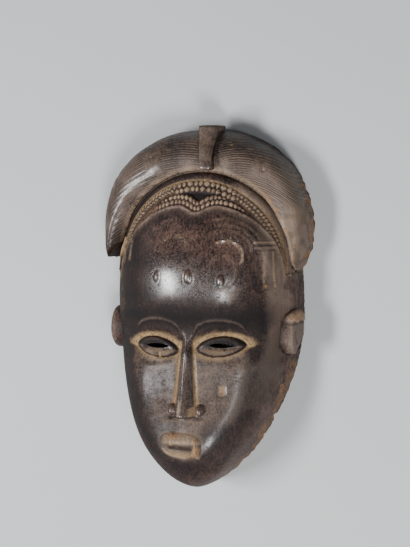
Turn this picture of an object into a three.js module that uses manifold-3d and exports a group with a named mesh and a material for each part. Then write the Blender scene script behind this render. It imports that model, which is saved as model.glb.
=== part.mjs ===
// Carved wooden dance mask, in millimetres.
// It lies on the flat edge of its hollow back with the face up:
// +Z points out of the face, +Y towards the crest, and the origin is
// at the middle of its bounding box, on the plane of the back edge.
// The whole mask is one block of wood, so all carving joins one solid.

import * as THREE from 'three';
import { mergeVertices } from 'three/addons/utils/BufferGeometryUtils.js';
import Module from 'manifold-3d';

const wasm = await Module();
wasm.setup();

// Driving dimensions of the head
const HEAD_HALF_WIDTH = 78;
const HEAD_TOP = 137;
const HEAD_TOP_POWER = 2.25;
const CHIN = 147.5;
const JAW_POWER = 1.93;
const JAW_NARROWING = 0.56;
const LEFT_JAW_SHARE = 0.3;
const FACE_HEIGHT = 69;
const FOREHEAD_BULGE = 5;
const FOREHEAD_Y = 28;
const FOREHEAD_SPREAD = 30;
const EYE_LEVEL = -28;
const EYE_DIP = 3;
const EYE_DIP_Y = -36;
const EYE_DIP_SPREAD = 22;
const CHIN_RISE = 11;
const CHIN_RISE_FROM = -57;
const CHIN_RISE_TO = -116;
const CHIN_SQUARENESS = 2.4;
const CHEEK_DEPTH = 2.4;
const CHEEK_X = 27;
const CHEEK_Y = -66;
const CHEEK_SPREAD = [15, 22];

// The features sit on a midline that leans slightly to one side
const MIDLINE_X = 1.5;
const MIDLINE_LEAN = 0.043;

// The hollow back
const WALL = 9;
const FACE_THICKNESS = 10;
const HOLLOW_OVERCUT = 5;

// The hair: a thick arch around the forehead with a lobe over each temple
const HAIR_HALF_WIDTH = 86.5;
const HAIR_TOP = 144.5;
const HAIR_TOP_POWER = 2.17;
const HAIR_WIDEST_Y = 62;
const HAIR_BELOW_WIDEST = 67;
const LEFT_LOBE_POWER = 2.6;
const RIGHT_LOBE_POWER = 2;
const HAIR_HEIGHT = 41;
const HAIR_TOP_RISE = 10;
const HAIR_TOP_SECTION = 3.5;
const HAIR_LEFT_SQUARENESS = 4.5;
const HAIR_RIGHT_SQUARENESS = 2.5;
const HAIRLINE_SHIFT = -2.5;
const HAIRLINE_HALF_WIDTH = 75;
const HAIRLINE_CENTRE_Y = 30;
const HAIRLINE_RISE = 81.5;
const HAIR_FAN_Y = 45;
const HAIR_FAN_REACH = 130;
const HAIR_LEAST_WIDTH = 2;
const HAIR_SLOPE = 21;
const HAIR_SLOPE_POWER = 1.8;
const HAIR_SLOPE_LEFT_CUT = 0.4;
const HAIR_SLOPE_LEFT_X = -40;
const HAIR_FILL_SHARE = 0.8;
const HAIR_FILL_TOP = 110;
const HAIR_FILL_BOTTOM = 60;
const HAIR_EDGE_PROUD = 0.8;
const HAIR_LAST_SHARE = 0.9945;

// The underside of the lobes, which rises inwards; it hangs lower on the right
const LOBE_CUT_X = [-170, -86, -70, 0, 70, 86, 170];
const LOBE_CUT_Y = [37, 37, 38, 32, 24, 24, 24];
const LOBE_CUT_SLOPE = [0, 0, 0.6, 0.6, 0.6, 0.13, 0.13];

// The crest: a wedge that widens upwards and stands above the hair
const CREST_BOTTOM = [10, 112];
const CREST_TOP = [8, 147.5];
const CREST_BOTTOM_WIDTH = 9;
const CREST_TOP_WIDTH = 15.5;
const CREST_PROUD = 4.5;
const CREST_FOOT = 18;
const CREST_CAMBER = 1;
const CREST_LEVEL_Y = 137.5;

// The braided band between the hair and the forehead
const BRAID_WIDTH = 4.2;
const BRAID_PROUD = 1.6;
const BRAID_INSETS = [9, 14];
const FOREHEAD_BRAIDS = [{ above: 3, halfSpan: 54 }, { above: 8, halfSpan: 44 }];
const FOREHEAD_LINE_HALF_WIDTH = 69;
const FOREHEAD_LINE_CENTRE_Y = 20;
const FOREHEAD_LINE_RISE = 66;
const FOREHEAD_LINE_TOP = 80;
const FOREHEAD_NOTCH = 7;
const FOREHEAD_NOTCH_WIDTH = 10;

// Eyes, brows, nose and mouth
const EYE_X = 26.6;
const EYE_TILT = 0.035;
const EYE_SLANT = 0.09;
const LID_DROP = 0.9;
const SLIT_X = [-25.3, 29];
const LID_LENGTH = 36;
const LID_HEIGHT = 14;
const LID_THICKNESS = 2.6;
const LID_PROUD = 2.6;
const EYEBALL_PROUD = 2.2;
const SOCKET_LENGTH = 46;
const SOCKET_HEIGHT = 27;
const SOCKET_DEPTH = 3.2;
const SOCKET_LOW_SHARE = 0.35;
const SLIT_LENGTH = 20;
const SLIT_HEIGHT = 3.8;
const SLIT_RISE = 0.8;
const BROW_Y = -16;
const BROW_HALF_SPAN = 19;
const BROW_RISE = 10;
const BROW_WIDTH = 3;
const BROW_PROUD = 1.6;
const NOSE_TOP_Y = -22;
const NOSE_TIP_Y = -83;
const NOSE_SWAY = 2.2;
const NOSE_TOP_WIDTH = 8.5;
const NOSE_TIP_WIDTH = 16.5;
const NOSE_TOP_PROUD = 4;
const NOSE_TIP_PROUD = 12;
const NOSTRIL_SIZE = 8.5;
const NOSTRIL_SPREAD = 8.8;
const NOSTRIL_RISE = 4;
const MOUTH_Y = -106.2;
const MOUTH_X = -2.1;
const MOUTH_WIDTH = 35;
const MOUTH_HEIGHT = 20.5;
const MOUTH_PROUD = 6;
const MOUTH_SLIT_LENGTH = 20;
const MOUTH_SLIT_HEIGHT = 2.6;
const MOUTH_SLIT_DEPTH = 3.5;

// Raised marks on the forehead, and the ears
const MARK_X = [-22.5, 4.5, 31];
const MARK_Y = 28;
const MARK_SIZE = [8, 11, 3];
const EAR_Y = -18.5;
const EAR_Z = 20.5;
const EAR_LENGTH = 35;
const EAR_HEIGHT = 31;
const EAR_PROUD = 4;
const EAR_FACE_SHARE = 0.85;
const EAR_SUNK = 13;

// How far carving solids are sunk into the wood below them, and how tall cutting solids are
const SUNK = 4;
const CUT_DEPTH = 120;

const { lerp } = THREE.MathUtils;
const clamp01 = (value) => Math.min(1, Math.max(0, value));
const bell = (value, centre, width) => Math.exp(-(((value - centre) / width) ** 2));
const midline = (y) => MIDLINE_X + MIDLINE_LEAN * y;

function smoothStep(from, to, value) {
  const t = clamp01((value - from) / (to - from));
  return t * t * (3 - 2 * t);
}

// Superellipse norm: 1 on an outline with the given half sizes
function outlineNorm(x, y, halfX, halfY, power) {
  return (Math.abs(x / halfX) ** power + Math.abs(y / halfY) ** power) ** (1 / power);
}

// The head outline narrows to the chin, so its power falls towards straight down;
// the left jaw is carved fuller than the right one
function headNorm(x, y, inset = 0) {
  const steep = (y / (Math.hypot(x, y) || 1)) ** 2;
  const narrowing = (x > 0 ? 1 : LEFT_JAW_SHARE) * JAW_NARROWING;
  const power = y > 0 ? HEAD_TOP_POWER : JAW_POWER - narrowing * steep * (1 - 0.4 * steep);
  const halfY = (y > 0 ? HEAD_TOP : CHIN) - inset;
  return outlineNorm(x, y, HEAD_HALF_WIDTH - inset, halfY, power);
}

function headCrown(y) {
  return FACE_HEIGHT
    + FOREHEAD_BULGE * bell(y, FOREHEAD_Y, FOREHEAD_SPREAD)
    - EYE_DIP * bell(y, EYE_DIP_Y, EYE_DIP_SPREAD)
    + CHIN_RISE * smoothStep(CHIN_RISE_FROM, CHIN_RISE_TO, y);
}

// Height of the head's dome; the section grows squarer towards the chin
function headHeight(x, y, t, drop = 0) {
  const upward = y / (Math.hypot(x, y) || 1);
  const power = upward > 0
    ? 2.25 - 0.15 * upward ** 2
    : 2.25 + CHIN_SQUARENESS * Math.abs(upward) ** 3.3;
  return (headCrown(y) - drop) * (1 - clamp01(t) ** power) ** (1 / power);
}

// Flat cheeks fall away from the nose, and a ring around each eye lies deeper,
// most of all above the eye
function faceHeight(x, y) {
  const dome = headHeight(x, y, headNorm(x, y));
  const side = Math.abs(x - midline(y));
  const eyeY = EYE_LEVEL + EYE_TILT * x;
  const eye = Math.hypot((side - EYE_X) / (SOCKET_LENGTH / 2), (y - eyeY) / (SOCKET_HEIGHT / 2));
  const share = lerp(SOCKET_LOW_SHARE, 1, smoothStep(-6, 6, y - eyeY));
  const socket = SOCKET_DEPTH * share * smoothStep(1.25, 0.75, eye);
  const cheek = CHEEK_DEPTH * bell(side, CHEEK_X, CHEEK_SPREAD[0]) * bell(y, CHEEK_Y, CHEEK_SPREAD[1]);
  return dome - socket - cheek;
}

// 1 on the outer edge of the hair, whose left lobe is fuller
function hairNorm(x, y) {
  const v = y - HAIR_WIDEST_Y;
  if (v > 0) {
    return outlineNorm(x, v, HAIR_HALF_WIDTH, HAIR_TOP - HAIR_WIDEST_Y, HAIR_TOP_POWER);
  }
  return outlineNorm(x, v, HAIR_HALF_WIDTH, HAIR_BELOW_WIDEST, x < 0 ? LEFT_LOBE_POWER : RIGHT_LOBE_POWER);
}

function hairHeight(x, y, t) {
  const v = y - HAIR_WIDEST_Y;
  const upward = Math.max(0, v) / (Math.hypot(x, v) || 1);
  const crown = HAIR_HEIGHT + HAIR_TOP_RISE * upward ** 2;
  const sideGain = x > 0 ? HAIR_RIGHT_SQUARENESS : HAIR_LEFT_SQUARENESS;
  const power = HAIR_TOP_SECTION + sideGain * (1 - upward ** 2);
  return crown * (1 - clamp01(t) ** power) ** (1 / power);
}

function toSolid(geometry) {
  const bare = geometry.clone();
  bare.deleteAttribute('normal');
  bare.deleteAttribute('uv');
  const merged = mergeVertices(bare, 1e-4);
  return new wasm.Manifold(new wasm.Mesh({
    numProp: 3,
    vertProperties: new Float32Array(merged.attributes.position.array),
    triVerts: new Uint32Array(merged.index.array),
  }));
}

function toGeometry(solid) {
  const { vertProperties, triVerts } = solid.getMesh();
  const geometry = new THREE.BufferGeometry();
  geometry.setAttribute('position', new THREE.BufferAttribute(vertProperties, 3));
  geometry.setIndex(new THREE.BufferAttribute(triVerts, 1));
  geometry.computeVertexNormals();
  return geometry;
}

// Moves every vertex of a three.js geometry by a function of its position
function reshape(geometry, place) {
  const position = geometry.attributes.position;
  for (let i = 0; i < position.count; i++) {
    position.setXYZ(i, ...place(position.getX(i), position.getY(i), position.getZ(i)));
  }
  return toSolid(geometry);
}

// A dome over an outline, made from a box: its top face becomes the dome,
// its sides the last steep band, and its bottom lies flat at the given floor
function domeSolid({ halfX, halfY, norm, height, floor = 0, cells }) {
  const lastAngle = THREE.MathUtils.degToRad(84);
  const rimTop = 0.5;
  return reshape(new THREE.BoxGeometry(2, 2, 1, cells[0], cells[1], 1), (p, q, level) => {
    const u = p * Math.sqrt(1 - (q * q) / 2) * halfX;
    const v = q * Math.sqrt(1 - (p * p) / 2) * halfY;
    const radius = Math.min(1, Math.hypot(u / halfX, v / halfY));
    const onTop = level >= rimTop;
    const t = onTop ? Math.sin(radius * lastAngle) : radius;
    const scale = t / (norm(u, v) || 1);
    const x = u * scale;
    const y = v * scale;
    return [x, y, onTop ? height(x, y, t) : floor];
  });
}

// A long body bent along a path over a surface; its length runs along Y from -0.5 to 0.5
function alongPath(geometry, path, surface, width, proud) {
  return reshape(geometry, (x, y, z) => {
    const here = path(y + 0.5);
    const ahead = path(y + 0.51);
    const step = Math.hypot(ahead[0] - here[0], ahead[1] - here[1]);
    const across = [(ahead[1] - here[1]) / step, -(ahead[0] - here[0]) / step];
    const px = here[0] + across[0] * x * width;
    const py = here[1] + across[1] * x * width;
    return [px, py, surface(px, py) + (z > 0 ? z * 2 * proud : z * 2 * SUNK)];
  });
}

// A ridge of rounded section with tapered ends
function ridge(path, surface, width, proud, steps) {
  const rod = new THREE.CylinderGeometry(0.5, 0.5, 1, 6, steps);
  const taper = (y) => Math.max(0.25, Math.min(1, (0.5 - Math.abs(y)) * 12));
  const position = rod.attributes.position;
  for (let i = 0; i < position.count; i++) {
    const y = position.getY(i);
    position.setX(i, position.getX(i) * taper(y));
    position.setZ(i, position.getZ(i) * taper(y));
  }
  return alongPath(rod, path, surface, width, proud);
}

function head() {
  return domeSolid({
    halfX: HEAD_HALF_WIDTH,
    halfY: (HEAD_TOP + CHIN) / 2,
    norm: (x, y) => headNorm(x, y),
    height: (x, y) => faceHeight(x, y),
    cells: [26, 36],
  });
}

function hollow() {
  return domeSolid({
    halfX: HEAD_HALF_WIDTH - WALL,
    halfY: (HEAD_TOP + CHIN) / 2 - WALL,
    norm: (x, y) => headNorm(x, y, WALL),
    height: (x, y, t) => headHeight(x, y, t, FACE_THICKNESS + WALL / 2),
    floor: -HOLLOW_OVERCUT,
    cells: [14, 20],
  });
}

// An arch over the forehead, drawn inside the hairline by the inset; it runs
// straight down beyond its two feet
function hairline(angle, inset = 0) {
  const foot = Math.min(0, angle, Math.PI - angle) * HAIRLINE_HALF_WIDTH;
  const turn = Math.min(Math.PI, Math.max(0, angle));
  const y = HAIRLINE_CENTRE_Y + (HAIRLINE_RISE - inset) * Math.sin(turn) + foot;
  const x = midline(y) + HAIRLINE_SHIFT + (HAIRLINE_HALF_WIDTH - inset) * Math.cos(turn);
  return [x, y];
}

// A ray that starts on the hairline and ends on the outer edge of the hair
function hairRay(angle) {
  const [innerX, innerY] = hairline(angle);
  const start = Math.hypot(innerX, innerY - HAIR_FAN_Y);
  const direction = [innerX / start, (innerY - HAIR_FAN_Y) / start];
  const at = (reach) => [direction[0] * reach, HAIR_FAN_Y + direction[1] * reach];
  let near = start;
  let far = HAIR_FAN_REACH;
  for (let i = 0; i < 30; i++) {
    const middle = (near + far) / 2;
    if (hairNorm(...at(middle)) > 1) {
      far = middle;
    } else {
      near = middle;
    }
  }
  return { at, start, end: Math.max(near, start + HAIR_LEAST_WIDTH) };
}

// The hair slopes up from the head at its inner edge and rounds off at its outer edge
// The hair rises from the forehead by a soft slope, which fills up low on the right
function hairPoint(angle, share) {
  const { at, start, end } = hairRay(angle);
  const reach = lerp(start, end, share);
  const [x, y] = at(reach);
  const [innerX, innerY] = at(start);
  const low = faceHeight(innerX, innerY) + HAIR_EDGE_PROUD;
  const fill = innerX > 0 ? HAIR_FILL_SHARE * smoothStep(HAIR_FILL_TOP, HAIR_FILL_BOTTOM, innerY) : 0;
  const rise = Math.max(0, hairHeight(innerX, innerY, hairNorm(innerX, innerY)) - low);
  const drop = rise * (1 - fill);
  const width = HAIR_SLOPE * (1 - HAIR_SLOPE_LEFT_CUT * smoothStep(0, HAIR_SLOPE_LEFT_X, innerX));
  const slope = clamp01(1 - (reach - start) / width) ** HAIR_SLOPE_POWER;
  const full = hairHeight(x, y, HAIR_LAST_SHARE * Math.min(1, hairNorm(x, y)));
  return [x, y, Math.max(0, full - drop * slope)];
}

function hair() {
  const columns = 40;
  const rows = 11;
  const arch = reshape(new THREE.BoxGeometry(1, 1, 1, columns, rows, 1), (along, across, level) => {
    const angle = Math.PI / 2 - along * (Math.PI + 0.6);
    const share = Math.sin((across + 0.5) * (Math.PI / 2));
    const [x, y, z] = hairPoint(angle, share);
    return [x, y, level > 0 ? z : 0];
  });

  const spans = LOBE_CUT_X.length - 1;
  const below = reshape(new THREE.BoxGeometry(spans, 1, 1, spans, 1, 5), (x, y, z) => {
    const place = Math.round(x + spans / 2);
    const height = lerp(-HOLLOW_OVERCUT, HEAD_HALF_WIDTH, z + 0.5);
    const cutY = LOBE_CUT_Y[place] + LOBE_CUT_SLOPE[place] * Math.max(0, height);
    return [LOBE_CUT_X[place], y > 0 ? cutY : -2 * CHIN, height];
  });
  return arch.subtract(below);
}

function crest() {
  return reshape(new THREE.BoxGeometry(1, 1, 1, 2, 5, 1), (x, y, z) => {
    const along = y + 0.5;
    const py = lerp(CREST_BOTTOM[1], CREST_TOP[1], along);
    const width = lerp(CREST_BOTTOM_WIDTH, CREST_TOP_WIDTH, along);
    const px = lerp(CREST_BOTTOM[0], CREST_TOP[0], along) + x * width;
    const under = Math.min(py, CREST_LEVEL_Y);
    const crown = hairHeight(px, under, hairNorm(px, under)) + CREST_PROUD - 2 * CREST_CAMBER * Math.abs(x);
    return [px, py, z > 0 ? crown : CREST_FOOT];
  });
}

// The lower edge of the braided band: two arches that meet in a point on the midline
function foreheadLine(side) {
  const reach = Math.min(0.999, Math.abs(side) / FOREHEAD_LINE_HALF_WIDTH);
  const arch = (1 - reach ** 2.2) ** (1 / 2.2);
  const notch = FOREHEAD_NOTCH * bell(side, 0, FOREHEAD_NOTCH_WIDTH);
  return FOREHEAD_LINE_CENTRE_Y + FOREHEAD_LINE_RISE * arch - notch;
}

function braids() {
  const rows = [];
  for (const inset of BRAID_INSETS) {
    const path = (s) => {
      const angle = Math.PI * (0.04 + 0.92 * s);
      return hairline(angle, inset);
    };
    rows.push(ridge(path, faceHeight, BRAID_WIDTH, BRAID_PROUD, 22));
  }
  for (const { above, halfSpan } of FOREHEAD_BRAIDS) {
    const path = (s) => {
      const side = halfSpan * (2 * s - 1);
      return [side + midline(FOREHEAD_LINE_TOP), foreheadLine(side) + above];
    };
    rows.push(ridge(path, faceHeight, BRAID_WIDTH, BRAID_PROUD, 22));
  }
  return rows;
}

function brow(sign) {
  const path = (s) => {
    const across = 2 * s - 1;
    const y = BROW_Y + BROW_RISE * Math.sqrt(1 - 0.9 * across * across);
    return [midline(y) + sign * (EYE_X - 1) + BROW_HALF_SPAN * across, y];
  };
  return ridge(path, faceHeight, BROW_WIDTH, BROW_PROUD, 12);
}

function eyeCentre(sign) {
  const x = midline(EYE_LEVEL) + sign * EYE_X;
  return [x, EYE_LEVEL + EYE_TILT * x - LID_DROP];
}

function almond(angle, length, height) {
  const x = (length / 2) * Math.cos(angle);
  const y = (height / 2) * Math.sin(angle) * Math.abs(Math.sin(angle)) ** 0.35;
  return [x, y];
}

function lids(sign) {
  const [centreX, centreY] = eyeCentre(sign);
  const ring = new THREE.TorusGeometry(1, 0.1, 6, 24);
  return reshape(ring, (x, y, z) => {
    const angle = Math.atan2(y, x);
    const across = (Math.hypot(x, y) - 1) * 10;
    const [ax, ay] = almond(angle, LID_LENGTH + across * LID_THICKNESS, LID_HEIGHT + across * LID_THICKNESS);
    const px = centreX + ax;
    const py = centreY + ay + sign * EYE_SLANT * ax;
    const lift = z > 0 ? z * 10 * LID_PROUD : z * 10 * SUNK;
    return [px, py, faceHeight(px, py) + lift];
  });
}

function eyeball(sign) {
  const [centreX, centreY] = eyeCentre(sign);
  return reshape(new THREE.SphereGeometry(1, 16, 8), (x, y, z) => {
    const px = centreX + x * (LID_LENGTH / 2 - 1);
    const py = centreY + y * (LID_HEIGHT / 2 - 1) + sign * EYE_SLANT * (px - centreX);
    return [px, py, faceHeight(px, py) + (z > 0 ? z * EYEBALL_PROUD : z * SUNK)];
  });
}

function slit(sign) {
  const outline = new THREE.Shape();
  const turns = 16;
  for (let i = 0; i <= turns; i++) {
    const point = almond((2 * Math.PI * i) / turns, SLIT_LENGTH, SLIT_HEIGHT);
    if (i === 0) {
      outline.moveTo(...point);
    } else {
      outline.lineTo(...point);
    }
  }
  const cutter = new THREE.ExtrudeGeometry(outline, { depth: CUT_DEPTH, bevelEnabled: false });
  const x = SLIT_X[sign < 0 ? 0 : 1];
  cutter.translate(x, EYE_LEVEL + EYE_TILT * x + SLIT_RISE, 0);
  return toSolid(cutter);
}

// The nose bends a little off the midline towards its tip
function noseLine(y) {
  const along = clamp01((NOSE_TOP_Y - y) / (NOSE_TOP_Y - NOSE_TIP_Y));
  return midline(y) + NOSE_SWAY * along ** 2;
}

function nose() {
  const length = NOSE_TOP_Y - NOSE_TIP_Y;
  return reshape(new THREE.BoxGeometry(1, 1, 1, 4, 8, 1), (x, y, z) => {
    const along = 0.5 - y;
    const py = NOSE_TOP_Y - along * length;
    const width = lerp(NOSE_TOP_WIDTH, NOSE_TIP_WIDTH, along ** 1.2);
    const px = noseLine(py) + x * width;
    const proud = lerp(NOSE_TOP_PROUD, NOSE_TIP_PROUD, along);
    const round = Math.sqrt(Math.max(0, 1 - (1.7 * x) ** 2));
    const base = headHeight(px, py, headNorm(px, py));
    return [px, py, z > 0 ? base + proud * (0.25 + 0.75 * round) : base - 2 * SUNK];
  });
}

function nostril(sign) {
  const y0 = NOSE_TIP_Y + NOSTRIL_RISE;
  return reshape(new THREE.SphereGeometry(NOSTRIL_SIZE / 2, 10, 8), (x, y, z) => {
    const px = noseLine(y0) + sign * NOSTRIL_SPREAD + x;
    return [px, y0 + y, headHeight(px, y0, headNorm(px, y0)) + z + 2];
  });
}

function mouth() {
  const block = reshape(new THREE.BoxGeometry(1, 1, 1, 8, 6, 1), (x, y, z) => {
    const corner = outlineNorm(x, y, 0.5, 0.5, 5);
    const square = Math.max(Math.abs(x), Math.abs(y)) * 2;
    const inward = corner > 0 ? square / corner : 1;
    const px = MOUTH_X + x * MOUTH_WIDTH * inward;
    const py = MOUTH_Y + y * MOUTH_HEIGHT * inward;
    const rounding = 1 - 0.35 * square ** 6;
    const base = headHeight(px, py, headNorm(px, py));
    return [px, py, z > 0 ? base + MOUTH_PROUD * rounding : base - SUNK];
  });
  const groove = new THREE.BoxGeometry(MOUTH_SLIT_LENGTH, MOUTH_SLIT_HEIGHT, 20);
  const lip = headHeight(MOUTH_X, MOUTH_Y, headNorm(MOUTH_X, MOUTH_Y)) + MOUTH_PROUD;
  groove.translate(MOUTH_X, MOUTH_Y, lip - MOUTH_SLIT_DEPTH + 10);
  return block.subtract(toSolid(groove));
}

function mark(x0) {
  return reshape(new THREE.SphereGeometry(1, 8, 6), (x, y, z) => {
    const px = x0 + (x * MARK_SIZE[0] * (1 - 0.3 * y)) / 2;
    const py = MARK_Y + (y * MARK_SIZE[1]) / 2;
    return [px, py, faceHeight(px, py) + (z > 0 ? z * MARK_SIZE[2] : z * SUNK)];
  });
}

// A round ear with a bevelled rim, standing out of the side wall
function ear(sign) {
  const disc = new THREE.CylinderGeometry(EAR_FACE_SHARE, 1.15, 1, 20, 1);
  disc.rotateZ((-sign * Math.PI) / 2);
  return reshape(disc, (x, y, z) => {
    const px = x * sign > 0 ? HEAD_HALF_WIDTH - 3 + EAR_PROUD : HEAD_HALF_WIDTH - EAR_SUNK;
    return [sign * px, EAR_Y + (y * EAR_LENGTH) / 2, EAR_Z + (z * EAR_HEIGHT) / 2];
  });
}

function carveMask() {
  let solid = head().add(hair()).add(crest());
  const raised = [...braids(), nose(), mouth()];
  for (const sign of [-1, 1]) {
    raised.push(brow(sign), lids(sign), eyeball(sign), nostril(sign), ear(sign));
  }
  for (const x of MARK_X) {
    raised.push(mark(x));
  }
  for (const body of raised) {
    solid = solid.add(body);
  }
  solid = solid.subtract(hollow());
  for (const sign of [-1, 1]) {
    solid = solid.subtract(slit(sign));
  }
  return toGeometry(solid);
}

const darkWood = new THREE.MeshStandardMaterial({ color: 0x3a2820, roughness: 0.45, metalness: 0 });

const mask = new THREE.Mesh(carveMask(), darkWood);
mask.name = 'mask';

const part = new THREE.Group();
part.add(mask);

export default part;
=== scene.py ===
"""Dance mask in dark carved wood: the fine carving, the worn finish and the studio around it."""

import math
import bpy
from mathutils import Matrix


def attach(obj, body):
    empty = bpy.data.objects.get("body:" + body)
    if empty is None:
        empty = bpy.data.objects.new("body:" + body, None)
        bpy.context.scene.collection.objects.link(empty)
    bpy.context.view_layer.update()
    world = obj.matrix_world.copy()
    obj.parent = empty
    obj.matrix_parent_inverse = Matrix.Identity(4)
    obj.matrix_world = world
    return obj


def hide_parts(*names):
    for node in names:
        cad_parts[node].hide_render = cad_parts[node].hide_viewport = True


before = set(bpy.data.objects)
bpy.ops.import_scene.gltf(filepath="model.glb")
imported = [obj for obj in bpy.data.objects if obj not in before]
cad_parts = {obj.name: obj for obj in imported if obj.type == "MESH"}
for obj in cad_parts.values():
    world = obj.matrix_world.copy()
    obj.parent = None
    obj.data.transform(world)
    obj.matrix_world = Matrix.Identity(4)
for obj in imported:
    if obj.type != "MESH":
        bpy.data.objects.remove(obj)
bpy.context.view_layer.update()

from types import SimpleNamespace

import bmesh
import bpy
import numpy as np
from bpy.props import FloatProperty, FloatVectorProperty, PointerProperty
from bpy.types import Operator, Panel, PropertyGroup
from mathutils import Matrix, Vector

bl_info = {
    "name": "Carved Dance Mask",
    "version": (1, 0, 0),
    "blender": (4, 5, 0),
    "location": "3D View > Sidebar > Mask",
    "description": "Builds a carved wooden dance mask with its worn finish",
    "category": "Add Mesh",
}

# Lengths are written in millimetres and turned into metres where a mesh is made
MM = 0.001

# The plan of the head, the same as in the solid
HEAD_TOP_POWER = 2.25
JAW_POWER = 1.93
JAW_NARROWING = 0.56
LEFT_JAW_SHARE = 0.3
CHIN_SQUARENESS = 2.4
FOREHEAD_Y = 28
FOREHEAD_SPREAD = 30
EYE_DIP = 3
EYE_DIP_Y = -36
EYE_DIP_SPREAD = 22
CHIN_RISE_FROM = -57
CHIN_RISE_TO = -116
CHEEK_DEPTH = 2.4
CHEEK_X = 27
CHEEK_Y = -66
MIDLINE_X = 1.5
MIDLINE_LEAN = 0.043
LAST_ANGLE = math.radians(88)
HOLLOW_LAST_ANGLE = math.radians(84)
HOLLOW_OVERCUT = 5

# The plan of the hair and its crest
HAIR_WIDEST_Y = 62
HAIR_BELOW_WIDEST = 67
HAIR_TOP_POWER = 2.17
LEFT_LOBE_POWER = 2.6
RIGHT_LOBE_POWER = 2.0
HAIR_TOP_SECTION = 3.5
HAIR_LEFT_SQUARENESS = 4.5
HAIR_RIGHT_SQUARENESS = 2.5
HAIRLINE_SHIFT = -2.5
HAIRLINE_HALF_WIDTH = 75
HAIRLINE_CENTRE_Y = 30
HAIRLINE_RISE = 81.5

# The underside of the lobes, which rises inwards; it hangs lower on the right
LOBE_CUT_X = (-170, -86, -70, 0, 70, 86, 170)
LOBE_CUT_Y = (37, 37, 38, 32, 24, 24, 24)
LOBE_CUT_SLOPE = (0, 0, 0.6, 0.6, 0.6, 0.13, 0.13)
LOBE_CUT_TOP = 78
LOBE_CUT_FAR_Y = -200

# The crest
CREST_BOTTOM = (10, 112)
CREST_TOP = (8, 147.5)
CREST_FOOT = 18
CREST_LEVEL_Y = 131
CREST_ROUNDING = 7

# The lower edge of the braided band
FOREHEAD_LINE_HALF_WIDTH = 69
FOREHEAD_LINE_CENTRE_Y = 20
FOREHEAD_LINE_RISE = 66
FOREHEAD_NOTCH = 7
FOREHEAD_NOTCH_WIDTH = 10

# Places on the face
EYE_LEVEL = -28
EYE_X = 26.6
EYE_TILT = 0.035
EYE_SLANT = 0.09
LID_DROP = 0.9
SLIT_X = (-25.3, 29)
SLIT_RISE = 0.8
SOCKET_LENGTH = 46
SOCKET_HEIGHT = 27
SOCKET_LOW_SHARE = 0.35
BROW_Y = -16
BROW_HALF_SPAN = 19
BROW_RISE = 10
NOSE_TOP_Y = -22
NOSE_TIP_Y = -83
NOSE_SWAY = 2.2
MOUTH_X = -2.1
MOUTH_Y = -106.2
MARK_PLACES = ((-22.5, 28, 0.75), (4.5, 29, 1.0), (31, 26, 0.85))
EAR_Y = -18.5
EAR_Z = 20.5


def smooth_step(start, end, value):
    """Rises smoothly from 0 at start to 1 at end."""
    t = np.clip((value - start) / (end - start), 0, 1)
    return t * t * (3 - 2 * t)


def bell(value, centre, width):
    """A rounded bump of height 1 at the centre."""
    return np.exp(-(((value - centre) / width) ** 2))


def window(value, start, end, edge):
    """1 between start and end, fading to 0 over the edge width outside them."""
    return smooth_step(start - edge, start, value) * smooth_step(end + edge, end, value)


def midline(y):
    """The leaning midline that the features sit on."""
    return MIDLINE_X + MIDLINE_LEAN * y


# Waves laid over each other for hand-made unevenness, and the height at which their sum is cut off
RIPPLE_WAVES = 7
RIPPLE_TOP = 3.2


def ripple(points, size, seed):
    """Smooth hand-made unevenness from -1 to 1 with lumps of about the given size."""
    chance = np.random.default_rng(seed)
    total = np.zeros(len(points))
    for _ in range(RIPPLE_WAVES):
        direction = chance.normal(size=points.shape[1])
        direction *= 2 * math.pi / (size * np.linalg.norm(direction) * chance.uniform(0.8, 1.7))
        total += np.sin(points @ direction + chance.uniform(0, 2 * math.pi))
    return np.clip(total / RIPPLE_TOP, -1, 1)


def in_mm(group):
    """The lengths of a property group in millimetres, and its other values as they are."""
    values = {}
    for name, prop in group.bl_rna.properties.items():
        if prop.type == "FLOAT":
            value = getattr(group, name)
            values[name] = value / MM if prop.unit == "LENGTH" else value
    return SimpleNamespace(**values)


def length(name, description, millimetres):
    """A length property with its default in millimetres."""
    return FloatProperty(
        name=name, description=description, default=millimetres * MM,
        min=0.0, unit="LENGTH", precision=4,
    )


def colour(name, description, value):
    """A colour property."""
    return FloatVectorProperty(
        name=name, description=description, default=value,
        size=3, min=0.0, max=1.0, subtype="COLOR",
    )


def factor(name, description, value, top=1.0):
    """A plain number property."""
    return FloatProperty(name=name, description=description, default=value, min=0.0, max=top)


def tilt(name, description, degrees):
    """An angle property with its default in degrees."""
    return FloatProperty(
        name=name, description=description, default=math.radians(degrees), subtype="ANGLE")


class MASK_PG_head(PropertyGroup):
    half_width: length("Half width", "Half of the head's width at the back edge", 78)
    top: length("Top", "Height of the head above its origin", 137)
    chin: length("Chin", "Depth of the chin below the origin", 147.5)
    face_height: length("Face height", "How far the face stands above the back edge", 69)
    forehead_bulge: length("Forehead bulge", "Extra height of the forehead", 5)
    chin_rise: length("Chin rise", "Extra height of the mouth and chin", 11)
    wall: length("Wall", "Thickness of the wood at the back edge", 9)
    face_thickness: length("Face thickness", "Thickness of the wood behind the face", 10)


class MASK_PG_hair(PropertyGroup):
    half_width: length("Half width", "Half of the hair's width at the temples", 86.5)
    top: length("Top", "Height of the hair above the origin", 144.5)
    height: length("Height", "How far the hair stands above the back edge", 41)
    top_rise: length("Top rise", "Extra height of the hair under the crest", 10)
    comb_pitch: length("Comb pitch", "Distance between the combed lines", 1.9)
    comb_depth: length("Comb depth", "Depth of the combed lines", 0.35)
    crest_bottom_width: length("Crest bottom width", "Width of the crest above the forehead", 9)
    crest_top_width: length("Crest top width", "Width of the crest at the top edge", 15.5)
    crest_proud: length("Crest height", "How far the crest stands above the hair", 4.5)


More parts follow.
